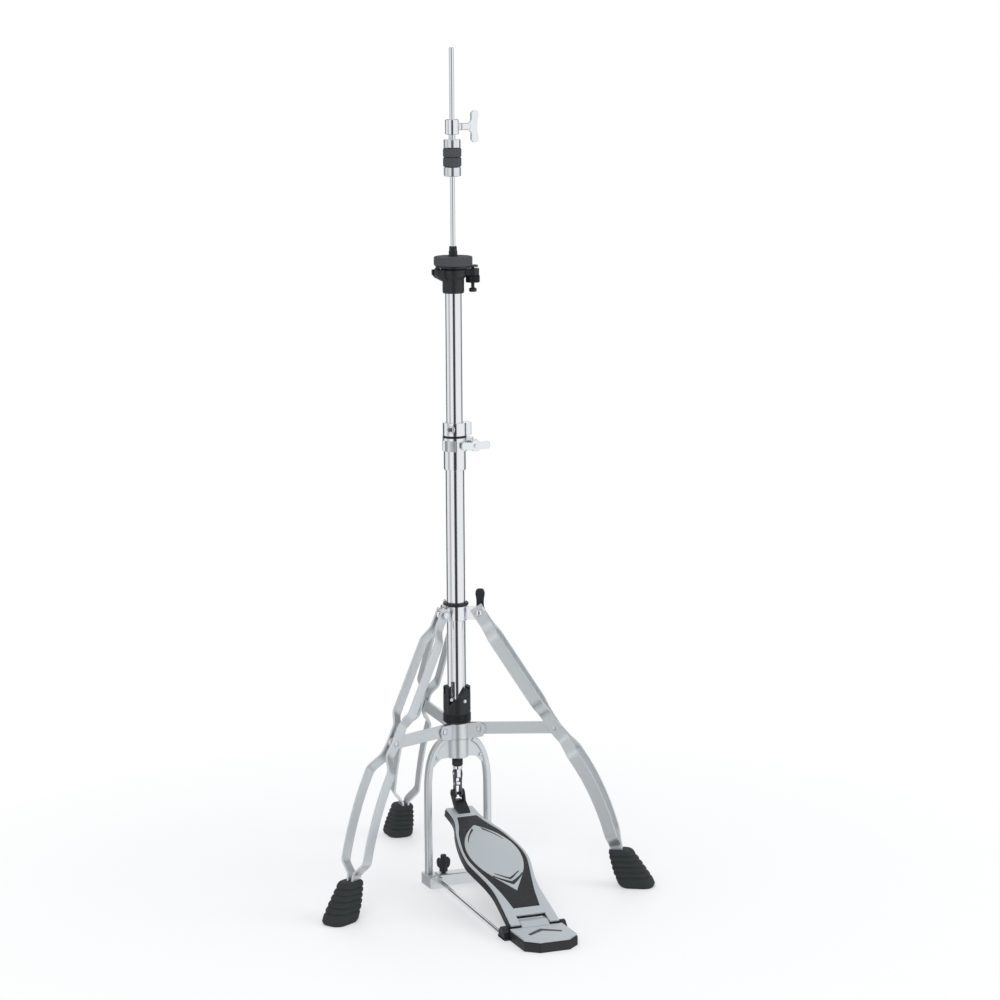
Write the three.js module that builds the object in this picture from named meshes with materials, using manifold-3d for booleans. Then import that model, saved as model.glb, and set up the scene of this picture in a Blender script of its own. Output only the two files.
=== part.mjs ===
// Hi-hat stand: a tripod stand with a foot pedal, a pull rod and a clutch.
// Millimetres, +Z up. The tube axis is the Z axis and the pedal runs along -Y;
// the whole group is moved along Y at the end so that its footprint is centred.
import * as THREE from "three";
import { mergeVertices } from "three/addons/utils/BufferGeometryUtils.js";
import Module from "manifold-3d";

const wasm = await Module();
wasm.setup();

// ---- driving dimensions ------------------------------------------------------
const GAP = 0.3; // clearance between pieces that rest on each other

const ROD_TOP = 1100;
const ROD_R = 3.2;
const SEAT_Z = 833; // top of the lower cymbal felt
const SEAT_FELT_R = 25;
const SEAT_FELT_H = 11.7;
const CLUTCH_Z = 936; // underside of the clutch
const CLUTCH_R = 11.6;
const UPPER_TUBE_R = 11.1;
const UPPER_TUBE_WALL = 1.5;
const UPPER_TUBE_BOTTOM = 430;
const MAIN_TUBE_R = 12.7;
const MAIN_TUBE_TOP = 597;
const CLAMP_R = 16.5;
const LOCK_H = 17;

const COLLAR_Z = 354; // underside of the sliding tripod collar
const COLLAR_H = 20;
const COLLAR_R = 14.8;
const BRACKET_Z = 195.3; // underside of the fixed strut bracket
const BRACKET_H = 20.7;
const LEG_PIVOT = [30.4, 365];
const STRUT_PIVOT = [31, 209];
const STRUT_END = [130.7, 212.8];
const STRAP_W = 16;
const STRAP_T = 3;
const STRUT_T = 4;
const UPPER_SPREAD = 13; // strap offset from the leg plane above the strut
const LOWER_SPREAD = 18; // strap offset from the leg plane below the knee
const LEG_ANGLES = [210, 330, 90];

const DIAL_R = 18.4;
const DIAL_Z = 217.3;
const DIAL_H = 47.7;
const CAM_LOW = 242;
const CAM_RISE = 0.27; // per degree of turn
const CAM_ANGLE = 214; // direction of the notch wall
const PIN_ANGLE = 225; // direction of the tension pin

const YOKE_TOP = 195;
const YOKE_FLOOR = 169;
const YOKE_R = 14.5;
const POST_X = 42;
const POST_W = 8;
const POST_D = 12;
const BASE_H = 14;
const RADIUS_ROD_R = 2.5;

const HINGE = [-263, 11]; // y and z of the footboard hinge
const BOARD_DEG = 17.2;
const BOARD_END = 274;
const BOARD_START = -6;
const BOARD_BOW = 9;
const BOARD_TOP = 9.5; // height of the top face over the hinge line
const PLATE_T = 2.5;
const TOE_PIN_Z = 118.5;
const LINK_PIN_Z = 146;
const HEEL_Y = -336;
const HEEL_HALF = 36;
const TONGUE_HALF = 19;

// ---- materials -----------------------------------------------------------------
const paint = (name, color, metalness, roughness) => {
  const m = new THREE.MeshStandardMaterial({ color, metalness, roughness });
  m.name = name;
  return m;
};
const CHROME = paint("chrome", 0xdfe4e8, 1, 0.12);
const SATIN = paint("satin_cast", 0xc3ccd2, 1, 0.35);
const BLACK = paint("black_plastic", 0x23262a, 0, 0.45);
const RUBBER = paint("black_rubber", 0x1d2023, 0, 0.8);
const FELT = paint("felt", 0x3a3d41, 0, 0.95);
const SILVER = paint("silver_plate", 0xb0b8bd, 0.9, 0.4);
const DARK = paint("dark_steel", 0x3c4146, 0.9, 0.35);

// ---- helpers ---------------------------------------------------------------------
const rad = THREE.MathUtils.degToRad;

function bare(geometry) {
  const g = geometry.clone();
  g.deleteAttribute("normal");
  g.deleteAttribute("uv");
  return mergeVertices(g, 1e-4);
}

function solid(geometry) {
  const g = bare(geometry);
  return new wasm.Manifold(new wasm.Mesh({
    numProp: 3,
    vertProperties: new Float32Array(g.attributes.position.array),
    triVerts: new Uint32Array(g.index.array),
  }));
}

function geometryOf(manifold) {
  const mesh = manifold.getMesh();
  const g = new THREE.BufferGeometry();
  g.setAttribute("position", new THREE.BufferAttribute(new Float32Array(mesh.vertProperties), 3));
  g.setIndex(new THREE.BufferAttribute(new Uint32Array(mesh.triVerts), 1));
  g.computeVertexNormals();
  return g;
}

function join(first, ...rest) {
  return geometryOf(rest.reduce((sum, g) => sum.add(solid(g)), solid(first)));
}

function cut(first, ...rest) {
  return geometryOf(rest.reduce((sum, g) => sum.subtract(solid(g)), solid(first)));
}

function common(first, second) {
  return geometryOf(solid(first).intersect(solid(second)));
}

// A closed solid through a list of rings with the same number of points.
function loft(rings, looped = false) {
  const n = rings[0].length;
  const index = [];
  const spans = looped ? rings.length : rings.length - 1;
  for (let i = 0; i < spans; i += 1) {
    const a = i * n;
    const b = ((i + 1) % rings.length) * n;
    for (let j = 0; j < n; j += 1) {
      const k = (j + 1) % n;
      index.push(a + j, a + k, b + k, a + j, b + k, b + j);
    }
  }
  if (!looped) {
    const last = (rings.length - 1) * n;
    for (let j = 1; j < n - 1; j += 1) {
      index.push(0, j + 1, j, last, last + j, last + j + 1);
    }
  }
  const points = rings.flat();
  let volume = 0;
  for (let i = 0; i < index.length; i += 3) {
    const [p, q, r] = [points[index[i]], points[index[i + 1]], points[index[i + 2]]];
    volume += p[0] * (q[1] * r[2] - q[2] * r[1]);
    volume += p[1] * (q[2] * r[0] - q[0] * r[2]);
    volume += p[2] * (q[0] * r[1] - q[1] * r[0]);
  }
  if (volume < 0) index.reverse();
  const g = new THREE.BufferGeometry();
  g.setAttribute("position", new THREE.Float32BufferAttribute(points.flat(), 3));
  g.setIndex(index);
  g.computeVertexNormals();
  return g;
}

// Turned solid about Z; the profile holds [radius, z] pairs.
function turned(profile, segments = 24) {
  const g = new THREE.LatheGeometry(profile.map(([r, z]) => new THREE.Vector2(r, z)), segments);
  g.rotateX(Math.PI / 2);
  return g;
}

function disc(r, z0, z1, segments = 24) {
  return turned([[0, z0], [r, z0], [r, z1], [0, z1]], segments);
}

function ring(inner, outer, z0, z1, segments = 24) {
  return turned([[inner, z0], [outer, z0], [outer, z1], [inner, z1], [inner, z0]], segments);
}

function box(x0, x1, y0, y1, z0, z1) {
  const g = new THREE.BoxGeometry(x1 - x0, y1 - y0, z1 - z0);
  g.translate((x0 + x1) / 2, (y0 + y1) / 2, (z0 + z1) / 2);
  return g;
}

// Cylinder along X (or Y) from one end to the other, about the given centre line.
function barX(r, x0, x1, y, z, segments = 12) {
  const g = disc(r, x0, x1, segments);
  g.rotateY(Math.PI / 2);
  g.translate(0, y, z);
  return g;
}

function barY(r, y0, y1, x, z, segments = 12) {
  const g = disc(r, -y1, -y0, segments);
  g.rotateX(Math.PI / 2);
  g.translate(x, 0, z);
  return g;
}

function prism(points, depth) {
  const shape = new THREE.Shape(points.map(([a, b]) => new THREE.Vector2(a, b)));
  return new THREE.ExtrudeGeometry(shape, { depth, bevelEnabled: false });
}

// Outline in the X-Z plane carried through y0..y1.
function plateXZ(points, y0, y1) {
  const g = prism(points, y1 - y0);
  g.rotateX(Math.PI / 2);
  g.translate(0, y1, 0);
  return g;
}

// Outline in the Y-Z plane carried through x0..x1.
function plateYZ(points, x0, x1) {
  const g = prism(points, x1 - x0);
  g.rotateY(Math.PI / 2);
  g.rotateX(Math.PI / 2);
  g.translate(x0, 0, 0);
  return g;
}

function plateXY(points, z0, z1) {
  const g = prism(points, z1 - z0);
  g.translate(0, 0, z0);
  return g;
}

function arc(cx, cy, r, from, to, steps) {
  const points = [];
  for (let i = 0; i <= steps; i += 1) {
    const a = rad(from + ((to - from) * i) / steps);
    points.push([cx + r * Math.cos(a), cy + r * Math.sin(a)]);
  }
  return points;
}

function moved(g, x, y, z) {
  g.translate(x, y, z);
  return g;
}

function aimed(g, degrees) {
  g.rotateZ(rad(degrees));
  return g;
}

// Grooved knob: a ring or disc with notches around its rim.
function notched(g, r, z0, z1, count, groove) {
  const tools = [];
  for (let i = 0; i < count; i += 1) {
    const tool = disc(groove, z0 - 1, z1 + 1, 6);
    tool.translate(r + groove * 0.45, 0, 0);
    tools.push(aimed(tool, (360 * i) / count));
  }
  return cut(g, ...tools);
}

// Height or width read off a list of [position, value] pairs.
function along(table, s) {
  if (s <= table[0][0]) return table[0][1];
  for (let i = 1; i < table.length; i += 1) {
    if (s <= table[i][0]) {
      const [a, u] = table[i - 1];
      const [b, v] = table[i];
      return u + ((v - u) * (s - a)) / (b - a);
    }
  }
  return table[table.length - 1][1];
}

const group = new THREE.Group();
group.name = "hi_hat_stand";

function add(name, geometry, material) {
  const mesh = new THREE.Mesh(geometry, material);
  mesh.name = name;
  group.add(mesh);
}

// ---- pull rod and clutch -------------------------------------------------------------
add("pull_rod", turned([
  [0, LINK_PIN_Z + 6.8], [ROD_R, LINK_PIN_Z + 6.8], [ROD_R, ROD_TOP - 1.2],
  [ROD_R - 1, ROD_TOP], [0, ROD_TOP],
], 16), CHROME);

const nutBottom = CLUTCH_Z;
const nutTop = CLUTCH_Z + 12;
const feltMid = nutTop + 12.3;
const feltTop = feltMid + 11.7;
const capTop = feltTop + 11.3;
const clampBottom = capTop + 5.7;
const clampTop = clampBottom + 20;
const clampMid = (clampBottom + clampTop) / 2;

add("clutch_body", cut(
  join(
    turned([
      [0, nutBottom + 0.5], [4.6, nutBottom + 0.5], [4.6, clampBottom],
      [8.6, clampBottom], [9.25, clampBottom + 0.8], [9.25, clampTop - 0.8],
      [8.6, clampTop], [0, clampTop],
    ]),
    barX(5.2, 0, 11.5, 0, clampMid),
  ),
  disc(ROD_R + GAP, nutBottom - 5, clampTop + 5, 16),
  barX(2.5 + GAP, ROD_R, 14, 0, clampMid),
), CHROME);
add("clutch_nut_low", notched(ring(4.9, CLUTCH_R, nutBottom, nutTop), CLUTCH_R, nutBottom, nutTop, 16, 0.9),
  CHROME);
add("clutch_felt_low", ring(4.9, CLUTCH_R + 0.2, nutTop + GAP, feltMid - GAP / 2), FELT);
add("clutch_felt_high", ring(4.9, CLUTCH_R + 0.2, feltMid + GAP / 2, feltTop), FELT);
add("clutch_nut_high", notched(ring(4.9, CLUTCH_R, feltTop + GAP, capTop), CLUTCH_R, feltTop, capTop, 16, 0.9),
  CHROME);

// Wing screw with two ears; the stud runs along +X from the hub.
function wingScrew(studR, studLength, hubR, hubLength, earStart, earEnd, span) {
  const stud = barX(studR, 0, studLength + 1, 0, 0);
  const hub = barX(hubR, studLength, studLength + hubLength, 0, 0);
  const ear = (side) => plateXZ([
    [earStart, -side], [earStart, side * hubR * 0.8], [earStart + 4, side * span * 0.72],
    [earStart + 9, side * span], [earEnd - 3, side * span], [earEnd, side * span * 0.8],
    [earEnd, side * span * 0.45], [earEnd - 6, side * hubR * 0.9], [earEnd - 7, -side],
  ], -1.8, 1.8);
  return join(stud, hub, ear(1), ear(-1));
}
add("clutch_wing", moved(wingScrew(2.5, 8, 5, 10, 17, 32, 20.5), 3.8, 0, clampMid), CHROME);

// ---- seat for the lower cymbal ----------------------------------------------------------
const feltBottom = SEAT_Z - SEAT_FELT_H;
const plateTop = feltBottom - GAP;
const plateLow = plateTop - 2.5;
const baseTop = plateLow - 2;
const tiltX = 27;
const seatPivotX = -22;
const seatPivotZ = plateLow - 5;

add("seat_felt", ring(6, SEAT_FELT_R, feltBottom, SEAT_Z, 32), FELT);
add("seat_neck", turned([
  [4.4, plateLow + GAP], [5.65, plateLow + GAP], [5.65, SEAT_Z + 7], [5, SEAT_Z + 7.4],
  [5, SEAT_Z + 13], [4.4, SEAT_Z + 13], [4.4, plateLow + GAP],
], 24), BLACK);
add("seat_plate", cut(
  join(
    disc(23, plateLow, plateTop, 28),
    box(15, 33, -6.5, 6.5, plateLow, plateTop),
    box(seatPivotX - 3, seatPivotX + 3, -2.6, 2.6, seatPivotZ - 3, plateLow + 1),
  ),
  disc(6, plateLow - 1, plateTop + 1, 24),
  barY(2.1, -5, 5, seatPivotX, seatPivotZ, 12),
), BLACK);
const seatBase = cut(
  join(
    turned([
      [0, baseTop - 31], [13.3, baseTop - 31], [14.1, baseTop - 29], [14.1, baseTop - 12],
      [17, baseTop - 9], [17, baseTop], [0, baseTop],
    ]),
    plateXZ([
      [-27, baseTop], [-27, baseTop - 7], [-23, baseTop - 11], [-12, baseTop - 17],
      [-5, baseTop - 17], [-5, baseTop],
    ], -8, 8),
    box(5, tiltX, -4.5, 4.5, baseTop - 8.5, baseTop),
    moved(disc(8.5, baseTop - 8.5, baseTop, 24), tiltX, 0, 0),
  ),
  disc(UPPER_TUBE_R + GAP, baseTop - 40, baseTop - 12),
  disc(4.4, baseTop - 20, baseTop + 1, 16),
  moved(disc(2.6, baseTop - 10, baseTop + 1, 12), tiltX, 0, 0),
  box(seatPivotX - 6, seatPivotX + 4, -3, 3, baseTop - 8, baseTop + 1),
);
add("seat_base", join(seatBase, barY(1.8, -8.6, 8.6, seatPivotX, seatPivotZ, 12)), BLACK);
const knobTop = baseTop - 8.5 - GAP;
add("tilt_knob", moved(
  notched(ring(2.6, 9.2, knobTop - 9.5, knobTop), 9.2, knobTop - 9.5, knobTop, 14, 0.9), tiltX, 0, 0), BLACK);
add("tilt_screw", moved(
  turned([
    [0, 786], [5, 786], [5, 791], [2.25, 791.6], [2.25, plateLow - GAP - 0.6],
    [1.6, plateLow - GAP], [0, plateLow - GAP],
  ], 16), tiltX, 0, 0), BLACK);

// ---- tubes, height clamp and memory lock --------------------------------------------------
const lockBottom = MAIN_TUBE_TOP + 2.8;
const lockTop = lockBottom + LOCK_H;
add("upper_tube", ring(UPPER_TUBE_R - UPPER_TUBE_WALL, UPPER_TUBE_R, UPPER_TUBE_BOTTOM, baseTop - 12 - GAP),
  CHROME);
add("memory_lock", cut(
  join(
    ring(UPPER_TUBE_R + GAP, 16, lockBottom, lockTop),
    box(13, 21.5, -7, 7, lockBottom, lockTop),
  ),
  box(11, 23, -1, 1, lockBottom - 1, lockTop + 1),
  disc(UPPER_TUBE_R + GAP, lockBottom - 1, lockTop + 1),
  aimed(barX(5, 14.6, 20, 0, lockBottom + 9), 231.3),
), CHROME);
add("lock_bolt", aimed(join(
  barX(4.6, 14.9, 15.7, 0, lockBottom + 9),
  box(15.5, 18, -2.4, 2.4, lockBottom + 6.6, lockBottom + 11.4),
), 231.3), DARK);

const clampLow = MAIN_TUBE_TOP - 17.5;
const wingZ = MAIN_TUBE_TOP - 10;
add("main_tube", cut(
  ring(MAIN_TUBE_R - 1.2, MAIN_TUBE_R, YOKE_FLOOR + 3 + GAP, MAIN_TUBE_TOP - 3.3),
  aimed(box(-20, 20, -2.8, 2.8, 245, 273), PIN_ANGLE),
), CHROME);
add("tube_bushing", turned([
  [UPPER_TUBE_R + 0.15, MAIN_TUBE_TOP - 3], [13.6, MAIN_TUBE_TOP - 3], [13.6, MAIN_TUBE_TOP + 0.2],
  [15.8, MAIN_TUBE_TOP + 0.2], [15.8, lockBottom - GAP], [UPPER_TUBE_R + 0.15, lockBottom - GAP],
  [UPPER_TUBE_R + 0.15, MAIN_TUBE_TOP - 3],
]), BLACK);
const clampShell = cut(
  join(
    turned([
      [MAIN_TUBE_R + GAP, MAIN_TUBE_TOP - 43], [14, MAIN_TUBE_TOP - 43], [15, MAIN_TUBE_TOP - 41],
      [15, clampLow], [CLAMP_R, clampLow + 1.2], [CLAMP_R, MAIN_TUBE_TOP - 0.8],
      [CLAMP_R - 0.8, MAIN_TUBE_TOP], [14, MAIN_TUBE_TOP], [14, MAIN_TUBE_TOP - 3.2],
      [MAIN_TUBE_R + GAP, MAIN_TUBE_TOP - 3.2], [MAIN_TUBE_R + GAP, MAIN_TUBE_TOP - 43],
    ], 28),
    box(14.3, 28, -9, 9, clampLow + 0.5, MAIN_TUBE_TOP - 0.5),
  ),
  box(10, 30, -1.2, 1.2, clampLow - 3, MAIN_TUBE_TOP + 2),
);
add("height_clamp", join(
  clampShell,
  barY(3, -23, 9.5, 21.5, wingZ),
  barY(5.5, 8.5, 13, 21.5, wingZ, 6),
), CHROME);
add("height_wing", moved(cut(
  join(
    barY(6.5, -20.6, -9.3, 0, 0),
    plateXZ([
      [-20, -2.5], [-17, -5], [-8, -4.5], [8, -4.5], [17, -5], [20, -2.5],
      [20, 3], [17, 5.5], [8, 4.5], [-8, 4.5], [-17, 5.5], [-20, 3],
    ], -21.4, -17.2),
  ),
  barY(3 + GAP, -30, 0, 0, 0),
), 21.5, 0, wingZ), CHROME);

// ---- tripod --------------------------------------------------------------------------------
const [pivotR, pivotZ] = LEG_PIVOT;
const [strutR, strutZ] = STRUT_PIVOT;
const [endR, endZ] = STRUT_END;
const lineTilt = Math.atan2(endR - pivotR, pivotZ - endZ);
const legPath = new THREE.CatmullRomCurve3([
  [pivotR - 8 * Math.sin(lineTilt), pivotZ + 8 * Math.cos(lineTilt)],
  [pivotR, pivotZ],
  [pivotR + (endR - pivotR) * 0.5, pivotZ - (pivotZ - endZ) * 0.5],
  [endR - 8 * Math.sin(lineTilt), endZ + 8 * Math.cos(lineTilt)],
  [endR + 1, endZ - 1.5],
  [147, 193.5],
  [163.5, 169.5],
  [179, 143],
  [196.5, 103],
  [209, 63],
  [215.5, 36.5],
].map(([r, z]) => new THREE.Vector3(r, 0, z)), false, "centripetal");

const NARROW = STRUT_T / 2 + 0.4 + STRAP_T / 2;
// Strap offset from the leg plane, by height on the leg.
const SPREAD = [
  [30, NARROW], [57, NARROW], [71, LOWER_SPREAD], [182, LOWER_SPREAD], [197, NARROW],
  [233, NARROW], [246, UPPER_SPREAD], [334, UPPER_SPREAD], [347, NARROW], [380, NARROW],
];

function strap(side) {
  const steps = 56;
  const marks = [];
  for (let i = 0; i <= steps; i += 1) {
    const p = legPath.getPointAt(i / steps);
    const d = legPath.getTangentAt(i / steps);
    marks.push({ p, d, t: along(SPREAD, p.z) });
  }
  const length = legPath.getLength() / steps;
  const kept = marks.filter((m, i) => i === 0 || i === steps || i % 4 === 0
    || Math.abs(marks[i - 1].t - marks[i + 1].t) > 1e-6);
  return loft(kept.map((m) => {
    const i = marks.indexOf(m);
    const before = marks[Math.max(i - 1, 0)].t;
    const after = marks[Math.min(i + 1, steps)].t;
    const slope = (after - before) / (length * 2);
    const half = (STRAP_T / 2) * Math.sqrt(1 + Math.min(slope * slope, 1));
    const corner = (w, t) => [m.p.x + w * m.d.z * -1, side * t, m.p.z + w * m.d.x];
    const w = STRAP_W / 2;
    return [corner(-w, m.t - half), corner(w, m.t - half), corner(w, m.t + half), corner(-w, m.t + half)];
  }));
}

function legStrap(side) {
  const outer = NARROW + STRAP_T / 2;
  const [y0, y1] = side > 0 ? [outer - 1, outer + 1.6] : [-outer - 1.6, -outer + 1];
  return cut(
    join(strap(side), barY(4.2, y0, y1, endR, endZ, 14)),
    barY(3 + GAP, -12, 12, pivotR, pivotZ, 12),
  );
}

// Rubber foot: a ribbed boot, wide at the sole and narrow at the top.
const HEEL_LINE = [[0, 221], [4, 217.5], [20, 213.5], [41, 209], [50, 208]];
const TOE_LINE = [[0, 261], [4, 263], [12, 259.5], [26, 250], [50, 233]];
const HALF_LINE = [[0, 16], [4, 17.5], [20, 17], [50, 13]];
function rubberFoot() {
  const level = (z, inset) => {
    const a = along(HEEL_LINE, z) + inset;
    const b = along(TOE_LINE, z) - inset;
    const h = along(HALF_LINE, z) - inset;
    const c = Math.min(h, (b - a) / 2) * 0.7;
    const points = [
      ...arc(b - c, h - c, c, 0, 90, 2), ...arc(a + c, h - c, c, 90, 180, 2),
      ...arc(a + c, c - h, c, 180, 270, 2), ...arc(b - c, c - h, c, 270, 360, 2),
    ];
    return points.map(([x, y]) => [x, y, z]);
  };
  const rings = [level(0, 0), level(4, 0), level(12, 0)];
  for (let i = 0; i < 5; i += 1) {
    const z = 14 + i * 7;
    rings.push(level(z, 1.4), level(z + 2, 1.4), level(z + 3, 0), level(z + 6.2, 0));
  }
  rings.push(level(50, 0.6));
  const foot = loft(rings);
  const w = STRAP_W / 2 + GAP;
  const end = legPath.getPointAt(1);
  const d = legPath.getTangentAt(1);
  const socket = plateXZ([
    [end.x - w * d.z * -1 + d.x * GAP, end.z - w * d.x + d.z * GAP],
    [end.x + w * d.z * -1 + d.x * GAP, end.z + w * d.x + d.z * GAP],
    [end.x + w * d.z * -1 - d.x * 30, end.z + w * d.x - d.z * 30],
    [end.x - w * d.z * -1 - d.x * 30, end.z - w * d.x - d.z * 30],
  ], -NARROW - STRAP_T / 2 - GAP, NARROW + STRAP_T / 2 + GAP);
  return cut(foot, socket);
}

// Flat strut: a bar with rounded ends, holed for its inner pin.
function strut() {
  const tilt = Math.atan2(endZ - strutZ, endR - strutR) / rad(1);
  const outline = [
    ...arc(strutR, strutZ, 8, tilt + 90, tilt + 270, 8), ...arc(endR, endZ, 8, tilt - 90, tilt + 90, 8),
  ];
  return cut(plateXZ(outline, -STRUT_T / 2, STRUT_T / 2), barY(2.5 + GAP, -5, 5, strutR, strutZ, 12));
}

const collarTop = COLLAR_Z + COLLAR_H;
const lug = () => plateXZ([
  [13.5, COLLAR_Z + 1], [pivotR - 2, COLLAR_Z + 1], ...arc(pivotR, pivotZ, 8, -60, 60, 5),
  [pivotR - 2, collarTop - 1], [13.5, collarTop - 1],
], -STRUT_T / 2, STRUT_T / 2);
const legBolt = (k) => {
  const far = k === 1 ? 15.8 : 7.2;
  const parts = [barY(3, -7.2, far, pivotR, pivotZ, 12), barY(4.6, -9.2, -5.7, pivotR, pivotZ, 12)];
  if (k !== 1) parts.push(barY(4.6, 5.7, 9.2, pivotR, pivotZ, 12));
  return join(...parts);
};
const collarParts = LEG_ANGLES.flatMap((a, k) => [aimed(lug(), a), aimed(legBolt(k), a)]);
add("collar", cut(
  join(ring(MAIN_TUBE_R + GAP, COLLAR_R, COLLAR_Z, collarTop), ...collarParts),
  disc(MAIN_TUBE_R + GAP, COLLAR_Z - 1, collarTop + 1),
), CHROME);
add("collar_ring", ring(MAIN_TUBE_R + GAP, 16.5, collarTop + GAP, collarTop + 4.2), BLACK);

const sideNames = ["left", "right", "back"];
LEG_ANGLES.forEach((a, k) => {
  const name = sideNames[k];
  add(`leg_strap_${name}_a`, aimed(legStrap(1), a), SATIN);
  add(`leg_strap_${name}_b`, aimed(legStrap(-1), a), SATIN);
  add(`leg_foot_${name}`, aimed(rubberFoot(), a), RUBBER);
  add(`strut_${name}`, aimed(strut(), a), SATIN);
});

// Wing nut on the right-hand leg bolt, thicker on its outer face.
const lobe = (y0, y1, grow) => plateXZ([
  [pivotR - 5 - grow, pivotZ - 8], [pivotR, pivotZ - 13 - grow], [pivotR + 5 + grow, pivotZ - 8],
  [pivotR + 4.4 + grow, pivotZ + 8], [pivotR + 5.4 + grow, pivotZ + 22], [pivotR + 3, pivotZ + 29],
  [pivotR - 3, pivotZ + 29], [pivotR - 5.4 - grow, pivotZ + 22], [pivotR - 4.4 - grow, pivotZ + 8],
], y0, y1);
add("collar_wing", aimed(cut(
  join(barY(6, 5.8, 11, pivotR, pivotZ), lobe(9, 12.3, 0), lobe(12, 15.4, 0.6)),
  barY(3 + GAP, 4, 20, pivotR, pivotZ, 12),
), LEG_ANGLES[1]), CHROME);

// Fixed bracket: three bent plates whose ears hold the inner ends of the struts.
function bracketPlate(a, b) {
  const inner = MAIN_TUBE_R + GAP;
  const outline = [
    ...arc(0, 0, inner, a, b, 12),
    ...arc(0, 0, inner + 2.6, b, a, 12),
  ];
  const ear = (angle, side) => {
    const y0 = STRUT_T / 2 + GAP;
    const g = plateXZ([
      [inner + 0.4, BRACKET_Z], [strutR + 5, BRACKET_Z + 3], ...arc(strutR, strutZ, 7.6, -30, 90, 6),
      [inner + 0.4, BRACKET_Z + BRACKET_H],
    ], side > 0 ? y0 : -y0 - 2.6, side > 0 ? y0 + 2.6 : -y0);
    return aimed(g, angle);
  };
  const slot = (angle) => aimed(
    box(0, 60, -STRUT_T / 2 - GAP, STRUT_T / 2 + GAP, BRACKET_Z - 5, BRACKET_Z + 30), angle);
  const hole = (angle) => aimed(barY(2.5 + GAP, -9, 9, strutR, strutZ, 12), angle);
  const plate = cut(
    join(plateXY(outline, BRACKET_Z, BRACKET_Z + BRACKET_H), ear(a, 1), ear(b, -1)),
    slot(a), slot(b), hole(b), disc(inner, BRACKET_Z - 5, BRACKET_Z + 30),
  );
  // The pin at the first ear runs through the strut and the far ear to a head of its own.
  return join(
    plate,
    aimed(barY(2.5, -6.6, 6, strutR, strutZ, 12), a),
    aimed(barY(4.6, -7.2, -5.2, strutR, strutZ, 12), a),
    aimed(barY(4.6, 4, 6.4, strutR, strutZ, 12), a),
  );
}
add("bracket_front", bracketPlate(210, 330), SATIN);
add("bracket_right", bracketPlate(330, 450), SATIN);
add("bracket_left", bracketPlate(90, 210), SATIN);

// ---- spring tension dial -----------------------------------------------------------------------
function camTop(degrees) {
  const turn = ((degrees - CAM_ANGLE) % 180 + 180) % 180;
  const full = DIAL_Z + DIAL_H;
  if (turn < 86) return Math.min(CAM_LOW + CAM_RISE * turn, full);
  if (turn < 104) return full - 3;
  if (turn < 118) return full;
  if (turn < 132) return full - 9;
  if (turn < 146) return full;
  if (turn < 158) return full - 9;
  return full;
}
function dial() {
  const angles = [];
  for (const half of [0, 180]) {
    for (let i = 0; i <= 12; i += 1) angles.push(half + 0.05 + (85.9 * i) / 12);
    for (const edge of [86, 104, 118, 132, 146, 158, 180]) {
      angles.push(half + edge - 0.05);
      if (edge < 180) angles.push(half + edge + 0.05);
    }
    angles.push(half + 169);
  }
  const sorted = [...new Set(angles)].sort((p, q) => p - q);
  return loft(sorted.map((turn) => {
    const a = CAM_ANGLE + turn;
    const top = camTop(a);
    const [c, s] = [Math.cos(rad(a)), Math.sin(rad(a))];
    const inner = MAIN_TUBE_R + 0.4;
    return [
      [inner * c, inner * s, DIAL_Z], [DIAL_R * c, DIAL_R * s, DIAL_Z],
      [DIAL_R * c, DIAL_R * s, top], [inner * c, inner * s, top],
    ];
  }), true);
}
add("tension_dial", dial(), BLACK);
const pinZ = CAM_LOW + CAM_RISE * (PIN_ANGLE - CAM_ANGLE) + 4.2;
add("tension_pin", aimed(cut(
  join(disc(10.8, pinZ - 3, pinZ + 3, 24), barX(2.5, -18, 18, 0, pinZ, 12)),
  disc(4.4, pinZ - 5, pinZ + 5, 16),
), PIN_ANGLE), CHROME);

// ---- yoke, posts and floor frame ------------------------------------------------------------------
const POST_LINE = [
  [20.5, 192.5], [27, 187], [33, 178], [37, 168], [40, 155], [41.6, 140], [42, 125], [42, BASE_H + GAP],
];
function post(side, grow) {
  const a = POST_W / 2 + grow;
  const b = POST_D / 2 + grow;
  const c = 2.4;
  const section = [
    [a, -b + c], [a, b - c], [a - c, b], [-a + c, b], [-a, b - c], [-a, -b + c], [-a + c, -b], [a - c, -b],
  ];
  const line = POST_LINE.map(([x, z]) => [x * POST_X / 42, z]);
  return loft(line.map(([x, z], i) => {
    const before = line[Math.max(i - 1, 0)];
    const after = line[Math.min(i + 1, line.length - 1)];
    const d = Math.hypot(after[0] - before[0], after[1] - before[1]);
    const nx = -(after[1] - before[1]) / d;
    const nz = (after[0] - before[0]) / d;
    return section.map(([u, v]) => [side * (x + u * nx), v, z + u * nz]);
  }));
}
add("post_left", post(-1, 0), SATIN);
add("post_right", post(1, 0), SATIN);
add("yoke", cut(
  join(
    turned([
      [0, YOKE_FLOOR], [YOKE_R - 1, YOKE_FLOOR], [YOKE_R, YOKE_FLOOR + 1], [YOKE_R, YOKE_TOP], [0, YOKE_TOP],
    ]),
    plateXZ([
      [-34, 159], [-30, 164], [-24, YOKE_FLOOR], [24, YOKE_FLOOR], [30, 164], [34, 159], [38, 163],
      [33, 180], [22, 193], [16, YOKE_TOP], [-16, YOKE_TOP], [-22, 193], [-33, 180], [-38, 163],
    ], -4.5, 4.5),
  ),
  disc(MAIN_TUBE_R + GAP, YOKE_FLOOR + 3, YOKE_TOP + 1),
  disc(4.4, YOKE_FLOOR - 5, YOKE_FLOOR + 5, 16),
  post(-1, GAP),
  post(1, GAP),
), SATIN);

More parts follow.
